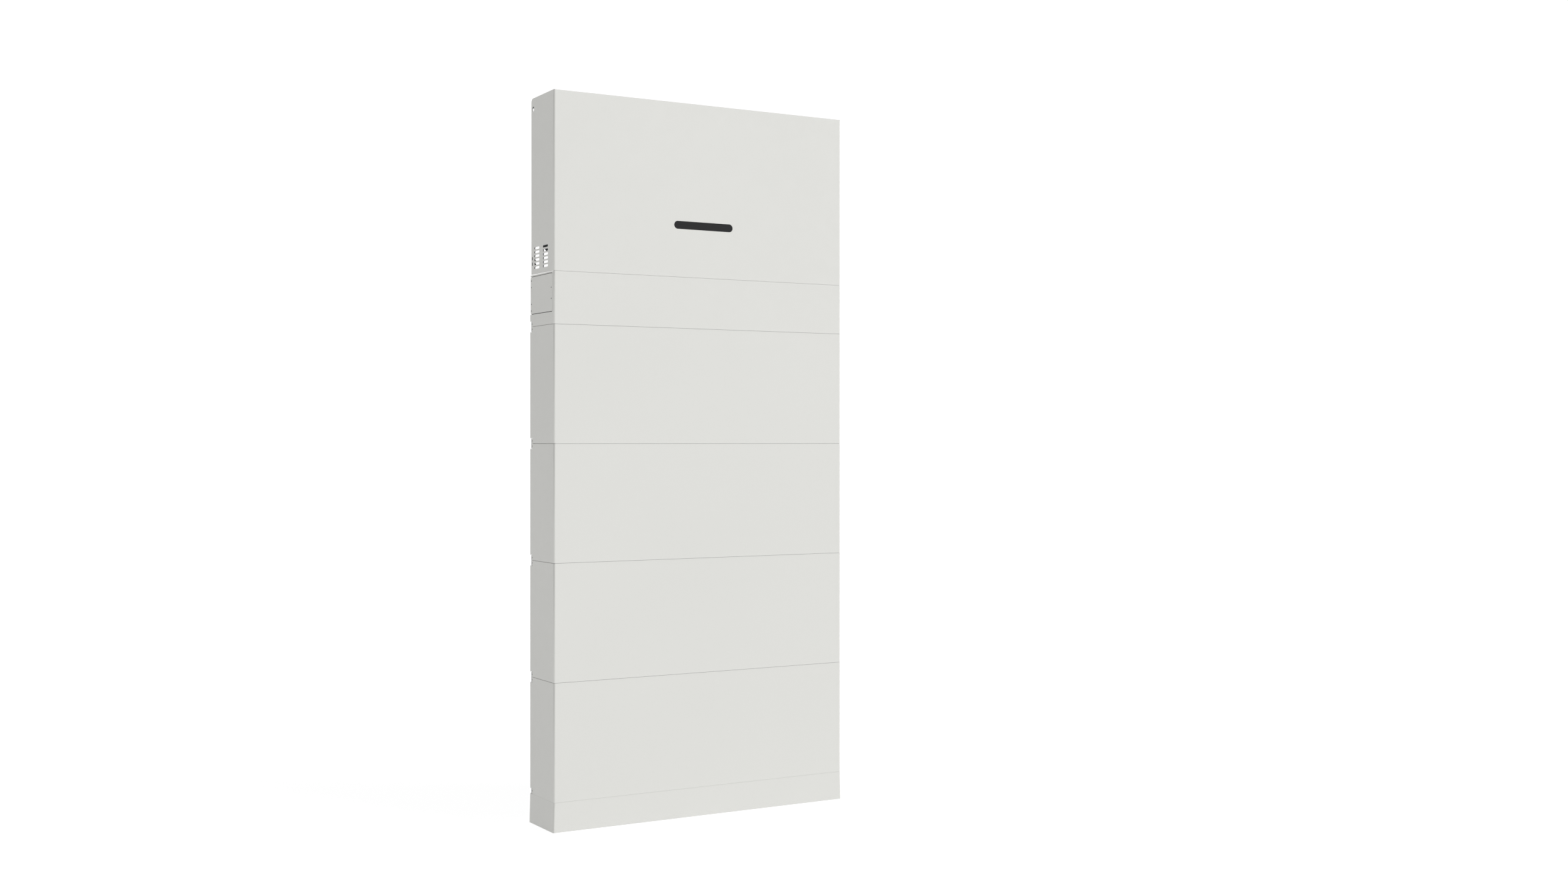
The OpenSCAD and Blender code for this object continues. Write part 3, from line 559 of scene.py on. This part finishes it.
def add_seam_seals():
    """Grey lip in the open line above each module, set back from the painted faces; its tone is painted shade
    for the seam line.
    """
    between_notches = HALF - 24
    uppers = [f"module_{number}_case" for number in MODULES[1:]] + ["control_case"]
    for number, upper in zip(MODULES, uppers):
        lip = seal_profile(box_mm(f"module_{number}_case")[1].z, box_mm(upper)[0].z, depth=3.0)
        seal = Piece(f"seam_seal_{number}")
        seal.swept(footprint(side_inset=3.2), lip)
        seal.swept([((x, REAR - 2.0), (0.0, 1.0)) for x in (between_notches, -between_notches)], lip)
        seal.finish("stack", GREY_SHADE_SEAL, "painted_sheet")


def add_plinth_seal():
    """Lip between the plinth and the first module, nearly flush at the sides; its tone is painted shade for
    the seam line.
    """
    lip = seal_profile(box_mm("plinth")[1].z, box_mm("module_1_case")[0].z, depth=2.0)
    seal = Piece("plinth_shade_seal")
    seal.swept(footprint(side_inset=0.05), lip)
    seal.finish("stack", PLINTH_SHADE_SEAL, "painted_sheet")


def add_hood_seal():
    """Foam strip on the control box's front, which the hood's lower lip rests against; its pale tone is
    painted shade for the hood's seam line.
    """
    clearance = 0.1
    lip = seal_profile(CONTROL_HIGH.z, HOOD_LOW.z - clearance, depth=2.4)
    seal = Piece("hood_seal")
    seal.swept(footprint(side_inset=1.3, front_inset=0.85)[1:-1], lip)
    seal.finish("stack", PALE_SHADE_SEAL, "painted_sheet")


def add_link_shade_strips():
    """Black rubber behind each link block, over the whole height of its notch; it stands as the dark line of
    shade in the gap behind the block, so it is painted shade.
    """
    width, overlap = 3.8, 0.1
    strips = Piece("link_shade_strips")
    for low, high in solids("link_blocks"):
        side, _, tip = side_span(low, high)
        outer = tip + 0.3
        x0, x1 = sorted((side * (outer - width), side * outer))
        y0, y1 = high.y - 0.9, high.y + 1.3
        outline = [(x0, y0), (x1, y0), (x1, y1 - 0.6), (x1 - 0.3, y1), (x0 + 0.3, y1), (x0, y1 - 0.6)]
        strips.plate("z", low.z - overlap, high.z - low.z + 2 * overlap, outline)
    strips.finish("stack", RUBBER, "black_plastic")


# ---------------------------------------------------------------- hood

# Vents and clip slots of the hood's sides: columns from its front, heights from its lower edge.
VENT_COLUMNS = [53.25, 107.5]
VENT_LOW = 16.0
VENT_PITCH = 9.8
VENT_ROWS = 6
VENT_LENGTH = 31.5
VENT_WIDTH = 6.0
CLIP_COLUMN = 137.0
CLIP_HEIGHTS = [26.7, 40.5]
CLIP_LENGTH = 9.04
CLIP_WIDTH = 4.34


def crescent(end, radius, thickness):
    """Thin lip that follows the round rear end of a slot."""
    inner = (end[0] - thickness, end[1])
    return arc(end, radius, -90, 90) + arc(inner, radius - 0.05, 90, -90)


def vent_places(column):
    """Middles of the slots of one column, from the lowest up."""
    return [(FRONT + column, HOOD_LOW.z + VENT_LOW + row * VENT_PITCH) for row in range(VENT_ROWS)]


def add_vent_guards():
    """Plastic guard behind each set of vents, with a dark lip in the rear end of every slot as painted shade
    on the slot's cut end.
    """
    face = HALF - SHEET - 0.1
    back = face - 0.6
    end = (VENT_LENGTH - VENT_WIDTH) / 2
    for side, label in SIDES.items():
        holes = [slot_outline(place, VENT_LENGTH + 0.6, VENT_WIDTH + 0.8)
                 for column in VENT_COLUMNS for place in vent_places(column)]
        low = (FRONT + VENT_COLUMNS[0] - 24, HOOD_LOW.z + 6)
        high = (FRONT + VENT_COLUMNS[1] + 19, HOOD_LOW.z + VENT_LOW + VENT_PITCH * VENT_ROWS)
        guard = Piece(f"{label}_vent_guard")
        guard.plate("x", *slab(side, back, face), round_rect(low, high, 3), holes)
        for y in (low[0] + 4, high[0] - 3):
            for z in (low[1] + 3, high[1] - 3):
                guard.turned("x", (y, z), [(side * back, 2.0), (side * (back - 0.8), 1.6),
                                           (side * (back - 1.0), 0.8)], 16)
        trim = Piece(f"{label}_vent_shade_lip")
        # The lips are painted shade on the slots' cut rear ends: dark grey in the front column, black and
        # part of the guard in the rear one.
        for piece, column, sunk in ((trim, VENT_COLUMNS[0], 0.2), (guard, VENT_COLUMNS[1], 0.5)):
            for y, z in vent_places(column):
                piece.plate("x", *slab(side, back, HALF - sunk),
                            crescent((y + end, z), VENT_WIDTH / 2 - 0.02, 0.5))
        guard.finish("hood", BLACK, "black_plastic")
        trim.finish("hood", DARK_GREY_AND_SHADE, "black_plastic")


def add_clip_slot_shade_rings():
    """Dark grey ring lining the cut faces of each of the hood's clip slots, as painted shade on the slot
    walls.
    """
    for side, label in SIDES.items():
        rings = Piece(f"{label}_clip_slot_shade_rings")
        for rise in CLIP_HEIGHTS:
            place = (FRONT + CLIP_COLUMN, HOOD_LOW.z + rise)
            rings.plate("x", *slab(side, HALF - SHEET, HALF - 0.15),
                        *stadium_ring(place, CLIP_LENGTH, CLIP_WIDTH, 0.42, True))
        rings.finish("hood", DARK_GREY_AND_SHADE, "black_plastic")


def add_corner_plugs():
    """Small dark filler where the hood's front, side and top bends meet."""
    plugs = Piece("hood_corner_plugs")
    top = HOOD_HIGH.z
    inset = EDGE_R - 2.1
    for side in SIDES:
        place = (side * (HALF - inset), FRONT + inset)
        plugs.turned("z", place, [(top - 2.2, 0.6), (top - 1.7, 1.2), (top - 0.3, 1.25), (top - 0.02, 0.9)],
                     20)
    plugs.finish("hood", DARK_GREY_AND_SHADE, "black_plastic")


def add_hood_stiffeners():
    """Hat-section channels and foam pads on the inside of the hood's front."""
    inner = FRONT + SHEET
    low, high = HOOD_LOW.z + 14, HOOD_HIGH.z - 14
    weld_pitch = 48
    channels = Piece("hood_stiffeners")
    pads = Piece("hood_pads")
    for x in (-320, -180, 180, 320):
        outline = [(x - 22, inner), (x - 12, inner), (x - 9, inner + 7), (x + 9, inner + 7), (x + 12, inner),
                   (x + 22, inner), (x + 22, inner + 1), (x + 12.6, inner + 1), (x + 9.6, inner + 8),
                   (x - 9.6, inner + 8), (x - 12.6, inner + 1), (x - 22, inner + 1)]
        channels.plate("z", low, high - low, outline)
        for z in range(round(low) + 12, round(high) - 10, weld_pitch):
            for foot in (-17.3, 17.3):
                channels.turned("y", (x + foot, z), [(inner + 0.5, 2.6), (inner + 1.15, 2.4),
                                                     (inner + 1.15, 1.8), (inner + 0.8, 1.2)], 16)
    for x in (-250, 0, 250):
        for z in (low + 60, high - 50):
            pads.plate("y", inner, 6, round_rect((x - 30, z - 9), (x + 30, z + 9), 4))
    channels.finish("hood", ZINC, "zinc_sheet", 0.3)
    pads.finish("hood", RUBBER, "black_plastic", 0.8)


def add_badge_rim():
    """Thin raised bead round the badge's face."""
    low, high = box_mm("hood_badge")
    margin, wall, proud = 0.3, 0.8, 0.08
    length, height = high.x - low.x - 2 * margin, high.z - low.z - 2 * margin
    rim = Piece("badge_rim")
    rim.plate("y", low.y - proud, 0.5, *stadium_ring(mid(low, high, "xz"), length, height, wall))
    rim.finish("hood", BADGE, "badge_plastic")


# ---------------------------------------------------------------- wall side

WALL_BOLT_X = 300
PLATE_BOLTS = [105, 385]        # heights above the hood's lower edge
BRACKET_BOLT = 35


def add_hood_clips():
    """Dark spring pads that the hood's clip slots snap over, with the rivets that hold them."""
    flange = box_mm("wall_plate")[1].x
    y = FRONT + CLIP_COLUMN
    low = (y - 4.4, HOOD_LOW.z + CLIP_HEIGHTS[0] - 6)
    high = (y + 4.4, HOOD_LOW.z + CLIP_HEIGHTS[1] + 6)
    pads = Piece("hood_clip_pads")
    rivets = Piece("hood_clip_rivets")
    for side in SIDES:
        pads.plate("x", *slab(side, flange, flange + 1.0), round_rect(low, high, 2))
        root = side * (flange - 2)
        for rise in (CLIP_HEIGHTS[0], CLIP_HEIGHTS[0] + 8.5):
            rivets.turned("x", (y - 1, HOOD_LOW.z + rise), [
                (root, 2.6), (root - side * 1.0, 2.6), (root - side * 1.4, 1.9),
                (root - side * 4.2, 1.8), (root - side * 5.0, 1.2)], 20)
    pads.finish("stack", DARK_GREY_AND_SHADE, "black_plastic", 0.2)
    rivets.finish("stack", BLACK, "black_plastic")


def add_wall_fixings():
    """Anchor bolts through the wall plate's rails and the wall brackets."""
    bolts = Piece("wall_anchor_bolts")
    bracket_low, bracket_high = box_mm("wall_brackets")
    plate_face = REAR - 9
    for side in SIDES:
        x = side * WALL_BOLT_X
        for rise in PLATE_BOLTS:
            bolts.turned("y", (x, HOOD_LOW.z + rise), hex_bolt(plate_face, -1, 7.5, 7))
        bolts.turned("y", (x, HOOD_LOW.z + BRACKET_BOLT), hex_bolt(bracket_high.y - 2, -1, 7.5, 7))
        for apart in (-10, 10):
            bolts.turned("y", (x + apart, bracket_low.z + 14), hex_bolt(bracket_low.y + 2, 1, 4, 3.2))
    bolts.finish("stack", STEEL, "fastener_steel")


def add_rear_fixings():
    """Bolts and a breather plug in the pressed beads at the back of each module."""
    bead_pitch, bolt_reach = 240, 80
    floor = REAR - SHEET
    for number in MODULES:
        z = mid(*box_mm(f"module_{number}_case"), "z")[0]
        bolts = Piece(f"module_{number}_rear_bolts")
        for bead in (-1, 0, 1):
            for end in (-1, 1):
                bolts.turned("y", (bead * bead_pitch + end * bolt_reach, z), [
                    (floor, 7.0), (floor + 0.5, 7.0),
                    (floor + 0.5, 5.0, hexagon), (floor + 1.25, 5.0, hexagon),
                    (floor + 1.35, 4.4), (floor + 1.35, 2.4), (floor + 0.8, 2.2)])
        bolts.finish("stack", STEEL, "fastener_steel")
        plug = Piece(f"module_{number}_breather")
        plug.turned("y", (0, z), [(floor, 11.0), (floor + 0.9, 11.0), (floor + 1.2, 10.4), (floor + 1.2, 8.0),
                                  (floor + 0.7, 7.6), (floor + 0.7, 2.4), (floor + 1.1, 2.0)], 36)
        for place in arc((0, z), 5, 0, 315, 7):
            plug.turned("y", place, [(floor + 0.6, 1.0), (floor + 1.1, 0.9), (floor + 1.1, 0.6)], 12)
        plug.finish("stack", BLACK, "black_plastic")


# ---------------------------------------------------------------- screws

def add_cover_screws():
    """Pan-head screws of the two side covers, with their shanks."""
    for label in SIDES.values():
        node = f"{label}_cover_screws"
        screws = Piece(f"{label}_cover_screw_set")
        for low, high in solids(node):
            side, root, tip = side_span(low, high)
            shank = [(side * root, 0.5), (side * (root + 0.6), 0.98), (side * HALF, 0.98)]
            head = pan_head(side * HALF, side, (high.z - low.z) / 2, tip - HALF)
            screws.turned("x", mid(low, high, "yz"), shank + head)
        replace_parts(screws.finish(f"{label}_cover", STEEL, "fastener_steel"), node)


def add_link_screws():
    """Socket screws that go sideways into the link blocks."""
    screws = Piece("link_screw_set")
    for low, high in solids("link_screws"):
        side, root, tip = side_span(low, high)
        radius = (high.z - low.z) / 2
        shank = [(root, 0.6), (root + 1.0, 0.8), (tip - 2.4, 0.8)]
        head = [(tip - 2.4, 1.0), (tip - 0.25, 1.0), (tip, 0.86)]
        socket = [(side * tip, 0.6 * radius, hexagon), (side * (tip - 1.1), 0.58 * radius, hexagon)]
        outside = [(side * along, wide * radius) for along, wide in shank + head]
        screws.turned("x", mid(low, high, "yz"), outside + socket)
    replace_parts(screws.finish("stack", STEEL, "fastener_steel"), "link_screws")


# ---------------------------------------------------------------- service bays

def add_bay_gaskets():
    """Foam ring round each bay's opening, under the side cover."""
    y0, z0, y1, z1 = -50, CONTROL_LOW.z + 50, 42, CONTROL_LOW.z + 115
    outline, hole = (round_rect((y0 - margin, z0 - margin), (y1 + margin, z1 + margin), radius)
                     for margin, radius in ((3.5, 6), (0.5, 4)))
    for side, label in SIDES.items():
        ring = Piece(f"{label}_bay_gasket")
        ring.plate("x", *slab(side, HALF - 2.0, HALF - 1.7), outline, [hole])
        ring.finish("stack", RUBBER, "black_plastic")


def add_cover_groove_shade_rims():
    """Dark foam in the groove above and below each side cover; it darkens the groove as painted shade."""
    fall = 1.2                  # of the cover's upper edge, towards the wall
    grown, band = 1.3, 5.0      # outside and inside the cover's edges
    for side, label in SIDES.items():
        low, high = box_mm(f"{label}_side_cover")
        rear = high.y - 2
        outer = [(low.y, low.z - grown), (rear, low.z - grown), (rear, high.z - fall + grown),
                 (low.y, high.z + grown)]
        inner = [(low.y + band, low.z + band), (rear - band, low.z + band),
                 (rear - band, high.z - fall - band), (low.y + band, high.z - band)]
        rim = Piece(f"{label}_cover_groove_shade_rim")
        rim.plate("x", *slab(side, HALF - 2.0, HALF - 1.68), outer, [inner])
        rim.finish("stack", RUBBER, "black_plastic")


def add_breaker_details():
    """Mounting rail behind the breaker, and the screws in its terminals."""
    low, high = box_mm("breaker_body")
    y, z = mid(low, high, "yz")
    inner, outer = 12.5, 17.3
    back, front = low.x - 2, low.x + 5.2
    half = [(back, inner + 1), (front - 1, inner + 1), (front - 1, outer), (front, outer), (front, inner),
            (back + 1, inner)]
    upper = [(x, z + rise) for x, rise in half]
    lower = [(x, z - rise) for x, rise in reversed(half)]
    rail = Piece("breaker_rail")
    rail.plate("y", -62, 84, upper + lower)
    rail.finish("stack", ZINC, "zinc_sheet")
    screws = Piece("breaker_terminal_screws")
    face = low.x + 38.2
    for across in (-9, 9):
        for rise in (-34, 34):
            screws.turned("x", (y + across, z + rise), pan_head(face, 1, 2.8, 3.0))
    screws.finish("stack", STEEL, "fastener_steel")


def add_terminal_screws():
    """Clamp screws and wire funnels in the left bay's terminal blocks."""
    screws = Piece("terminal_screws")
    funnels = Piece("terminal_funnels")
    ways = (-34, -17, 0, 17)
    for low, _ in solids("terminal_blocks"):
        for y in ways:
            screws.turned("x", (y, low.z + 21), pan_head(low.x + 6.5, -1, 2.8, 2.6))
            funnels.turned("x", (y, low.z + 9), [(low.x + 18, 3.9), (low.x + 1.2, 3.9), (low.x - 0.4, 4.9),
                                                 (low.x - 0.4, 4.5), (low.x + 1.6, 3.4), (low.x + 10, 3.2)])
    screws.finish("stack", STEEL, "fastener_steel")
    funnels.finish("stack", GREY, "grey_plastic")


def add_power_button():
    """Domed button in a steel ring, and the bezels of the status lights."""
    low, high = box_mm("power_button")
    centre = mid(low, high, "yz")
    panel = box_mm("status_lights")[1].x - 1
    button = Piece("power_button_cap")
    button.turned("x", centre, [
        (low.x, 6.0), (low.x, 7.0), (low.x + 2.7, 7.0), (low.x + 2.7, 9.0), (low.x + 5.7, 9.0),
        (low.x + 5.7, 7.0), (high.x - 0.6, 7.0), (high.x, 6.3), (high.x - 0.1, 5.4), (high.x - 0.5, 3.4),
        (high.x - 0.6, 1.0)], 40)
    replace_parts(button.finish("power_button", BLACK, "black_plastic"), "power_button")
    ring = Piece("power_button_ring")
    ring.turned("x", centre, [(panel, 7.5), (panel, 9.6), (panel + 0.9, 9.4), (panel + 1.2, 8.8),
                              (panel + 1.2, 7.9), (panel + 0.9, 7.5), (panel, 7.5)], 40)
    ring.finish("stack", STEEL, "fastener_steel")
    bezels = Piece("status_light_bezels")
    for light in solids("status_lights"):
        bezels.turned("x", mid(*light, "yz"), [(panel, 2.7), (panel, 4.0), (panel + 0.5, 3.8),
                                               (panel + 0.7, 3.3), (panel + 0.6, 2.7), (panel, 2.7)])
    bezels.finish("stack", BLACK, "black_plastic")


def add_gland_inserts():
    """Rubber sealing ring in each cable gland, with a cross-slit membrane, and grip ribs on its nut."""
    inserts = Piece("gland_inserts")
    ribs = Piece("gland_nut_ribs")
    for low, high in solids("cable_glands"):
        centre = mid(low, high, "xy")
        top = high.z
        inserts.turned("z", centre, [(top - 12, 6.9), (top - 0.4, 6.9), (top + 0.3, 6.2), (top + 0.3, 5.0),
                                     (top - 1.5, 4.2), (top - 3.0, 3.6, cross), (top - 6, 3.2, cross)], 32)
        for place in arc(centre, 12.2, 0, 330, 11):
            ribs.turned("z", place, [(top - 13, 0.9), (top - 8.5, 0.9), (top - 7, 0.3)], 10)
    inserts.finish("stack", RUBBER, "black_plastic")
    ribs.finish("stack", BLACK, "black_plastic")


# ---------------------------------------------------------------- inverter

def add_inverter_screws():
    """Socket screws round the edge of the inverter's front cover."""
    low, high = box_mm("inverter_front_cover")
    face = low.y + 2.5
    screws = Piece("inverter_cover_screws")
    places = [(x, z) for x in (-225, -112, 0, 112, 225) for z in (low.z + 12, high.z - 11)]
    places += [(x, z) for x in (-229, 229) for z in (low.z + 110, low.z + 215)]
    for place in places:
        screws.turned("y", place, pan_head(face, -1, 4.2, 2.6, hexagon))
    screws.finish("stack", STEEL, "fastener_steel")


def add_inverter_panel():
    """Display frame, four soft keys and a row of lights on the inverter."""
    low, high = box_mm("display_window")
    face = box_mm("inverter_front_cover")[0].y
    margin, lap = 4.0, 0.6
    bezel = Piece("display_frame")
    bezel.plate("y", face - 0.7, 0.9,
                round_rect((low.x - margin, low.z - margin), (high.x + margin, high.z + margin), 11),
                [round_rect((low.x + lap, low.z + lap), (high.x - lap, high.z - lap), 7)])
    bezel.finish("stack", BLACK, "black_plastic", 0.25)
    keys = Piece("inverter_keys")
    for x in (-39, -13, 13, 39):
        keys.turned("y", (x, low.z - 19), [(face + 0.1, 7.4), (face - 0.9, 7.2), (face - 1.6, 6.2),
                                           (face - 1.4, 4.6), (face - 1.2, 1.5)], 36)
    keys.finish("stack", RUBBER, "black_plastic")
    lights = Piece("inverter_lights")
    for x in (-12, 0, 12):
        lights.turned("y", (x, high.z + 12), [(face + 0.1, 2.2), (face - 0.5, 2.2), (face - 0.9, 1.6),
                                              (face - 1.0, 0.7)])
    lights.finish("stack", LENS, "light_lens")


def add_isolator_details():
    """Raised marks round the isolator and a pale pointer let into its knob."""
    low, high = box_mm("isolator_base")
    y, z = mid(low, high, "yz")
    face = low.x + 5
    marks = Piece("isolator_marks")
    for turn in (0, 90, 180, 270):
        angle = math.radians(turn)
        c, s = math.cos(angle), math.sin(angle)
        corners = [(22.0, -0.8), (24.2, -0.8), (24.2, 0.8), (22.0, 0.8)]
        marks.plate("x", face - 0.1, 0.5, [(y + a * c - b * s, z + a * s + b * c) for a, b in corners])
    marks.finish("stack", GREY, "grey_plastic")
    screws = Piece("isolator_screws")
    for across in (-19, 19):
        for rise in (-19, 19):
            screws.turned("x", (y + across, z + rise), pan_head(face, 1, 2.2, 1.3))
    screws.finish("stack", STEEL, "fastener_steel")
    knob_face = box_mm("isolator_knob")[1].x
    pointer = Piece("isolator_pointer")
    pointer.plate("x", knob_face - 0.2, 0.4, round_rect((y - 0.9, z + 3), (y + 0.9, z + 14), 0.8))
    pointer.finish("isolator_knob", GREY, "grey_plastic")


# ---------------------------------------------------------------- camera, light and floor

CAMERA_YAW = math.radians(30.66)
CAMERA_HEIGHT = 0.965
CAMERA_BEHIND = 4.3986          # from the stack's front left upright edge, against the view
CAMERA_ASIDE = 0.566            # from that edge, across the view
CAMERA_LENS = 41.05
GLOW_YAW = math.radians(16.0)
GLOW_EDGE = (0.45, 0.77)        # cosines between which the surround grows from dim to bright
GLOW_STRENGTH = (0.33, 1.08)
KEY_STRENGTH = 1.75
KEY_SPREAD = math.radians(35.0)
KEY_DIRECTION = Vector((-0.60, 0.70, -0.38))
FLOOR_REACH = 60.0
FLOOR_TONE = (0.32, 0.32, 0.32)
FLOOR_GLOW = 0.86


def add_camera():
    """Level camera, set off from the stack's front left upright edge."""
    forward = Vector((math.sin(CAMERA_YAW), math.cos(CAMERA_YAW), 0.0))
    right = Vector((math.cos(CAMERA_YAW), -math.sin(CAMERA_YAW), 0.0))
    corner = Vector((-HALF, FRONT, 0.0)) * MM
    data = bpy.data.cameras.new("camera")
    data.lens = CAMERA_LENS
    data.sensor_width = 36.0
    data.clip_end = 200.0
    camera = bpy.data.objects.new("camera", data)
    camera.location = corner - CAMERA_BEHIND * forward + CAMERA_ASIDE * right
    camera.location.z = CAMERA_HEIGHT
    camera.rotation_euler = (math.radians(90.0), 0.0, -CAMERA_YAW)
    bpy.context.scene.collection.objects.link(camera)
    bpy.context.scene.camera = camera


def add_world():
    """Soft studio surround, brightest behind the stack and dimmer on its left."""
    world = bpy.data.worlds.new("studio")
    bpy.context.scene.world = world
    world.use_nodes = True
    nodes, links = world.node_tree.nodes, world.node_tree.links
    nodes.clear()
    output = nodes.new("ShaderNodeOutputWorld")
    background = nodes.new("ShaderNodeBackground")
    coords = nodes.new("ShaderNodeTexCoord")
    dot = nodes.new("ShaderNodeVectorMath")
    dot.operation = "DOT_PRODUCT"
    dot.inputs[1].default_value = (math.sin(GLOW_YAW), math.cos(GLOW_YAW), 0.0)
    ramp = nodes.new("ShaderNodeMapRange")
    ramp.interpolation_type = "SMOOTHSTEP"
    for socket, value in zip(("From Min", "From Max", "To Min", "To Max"), GLOW_EDGE + GLOW_STRENGTH):
        ramp.inputs[socket].default_value = value
    links.new(coords.outputs["Generated"], dot.inputs[0])
    links.new(dot.outputs["Value"], ramp.inputs["Value"])
    links.new(ramp.outputs[0], background.inputs["Strength"])
    background.inputs["Color"].default_value = (1.0, 1.0, 1.0, 1.0)
    links.new(background.outputs[0], output.inputs["Surface"])


def add_key():
    """A distant, wide light from the front right, so that a face is lit evenly all over."""
    data = bpy.data.lights.new("key", "SUN")
    data.energy = KEY_STRENGTH
    data.angle = KEY_SPREAD
    lamp = bpy.data.objects.new("key", data)
    lamp.location = (2.0, -3.0, 3.0)
    lamp.rotation_euler = KEY_DIRECTION.to_track_quat("-Z", "Y").to_euler()
    bpy.context.scene.collection.objects.link(lamp)


def add_floor():
    """Flat floor, half a millimetre under the stack."""
    far = FLOOR_REACH
    mesh = bpy.data.meshes.new("studio_floor")
    mesh.from_pydata([(-far, -far, 0), (far, -far, 0), (far, far, 0), (-far, far, 0)], [], [(0, 1, 2, 3)])
    mesh.materials.append(studio_floor("studio_floor", FLOOR_TONE, FLOOR_GLOW))
    floor = bpy.data.objects.new("studio_floor", mesh)
    floor.location.z = -0.5 * MM
    bpy.context.scene.collection.objects.link(floor)


# ---------------------------------------------------------------- build

SOFT_EDGES = {                  # radii of the CAD nodes' edges, in millimetres
    "plinth": 0.5, "control_case": 0.5, "hood_shell": 0.4, "left_side_cover": 0.6, "right_side_cover": 0.6,
    "link_blocks": 0.3, "hood_badge": 0.25, "wall_plate": 0.3, "wall_brackets": 0.3, "inverter_case": 1.2,
    "inverter_front_cover": 0.8, "heat_sink": 0.4, "display_window": 0.3, "pv_connectors": 0.5,
    "ac_connectors": 0.6, "isolator_base": 0.8, "isolator_knob": 1.0, "breaker_body": 0.5,
    "breaker_lever": 0.6, "terminal_blocks": 0.5, "cable_glands": 0.4, "control_rear_cover": 0.3,
}
paint_frame()
for name, width in SOFT_EDGES.items():
    soften(NODES[name], width)
for number in MODULES:
    soften(NODES[f"module_{number}_case"], 0.5)
    soften(NODES[f"module_{number}_rear_cover"], 0.3)

add_seam_seals()
add_plinth_seal()
add_hood_seal()
add_link_shade_strips()
add_vent_guards()
add_clip_slot_shade_rings()
add_corner_plugs()
add_hood_stiffeners()
add_badge_rim()
add_hood_clips()
add_wall_fixings()
add_rear_fixings()
add_cover_screws()
add_link_screws()
add_bay_gaskets()
add_cover_groove_shade_rims()
add_breaker_details()
add_terminal_screws()
add_power_button()
add_gland_inserts()
add_inverter_screws()
add_inverter_panel()
add_isolator_details()

add_camera()
add_world()
add_key()
add_floor()
bpy.context.scene.view_settings.view_transform = "Standard"
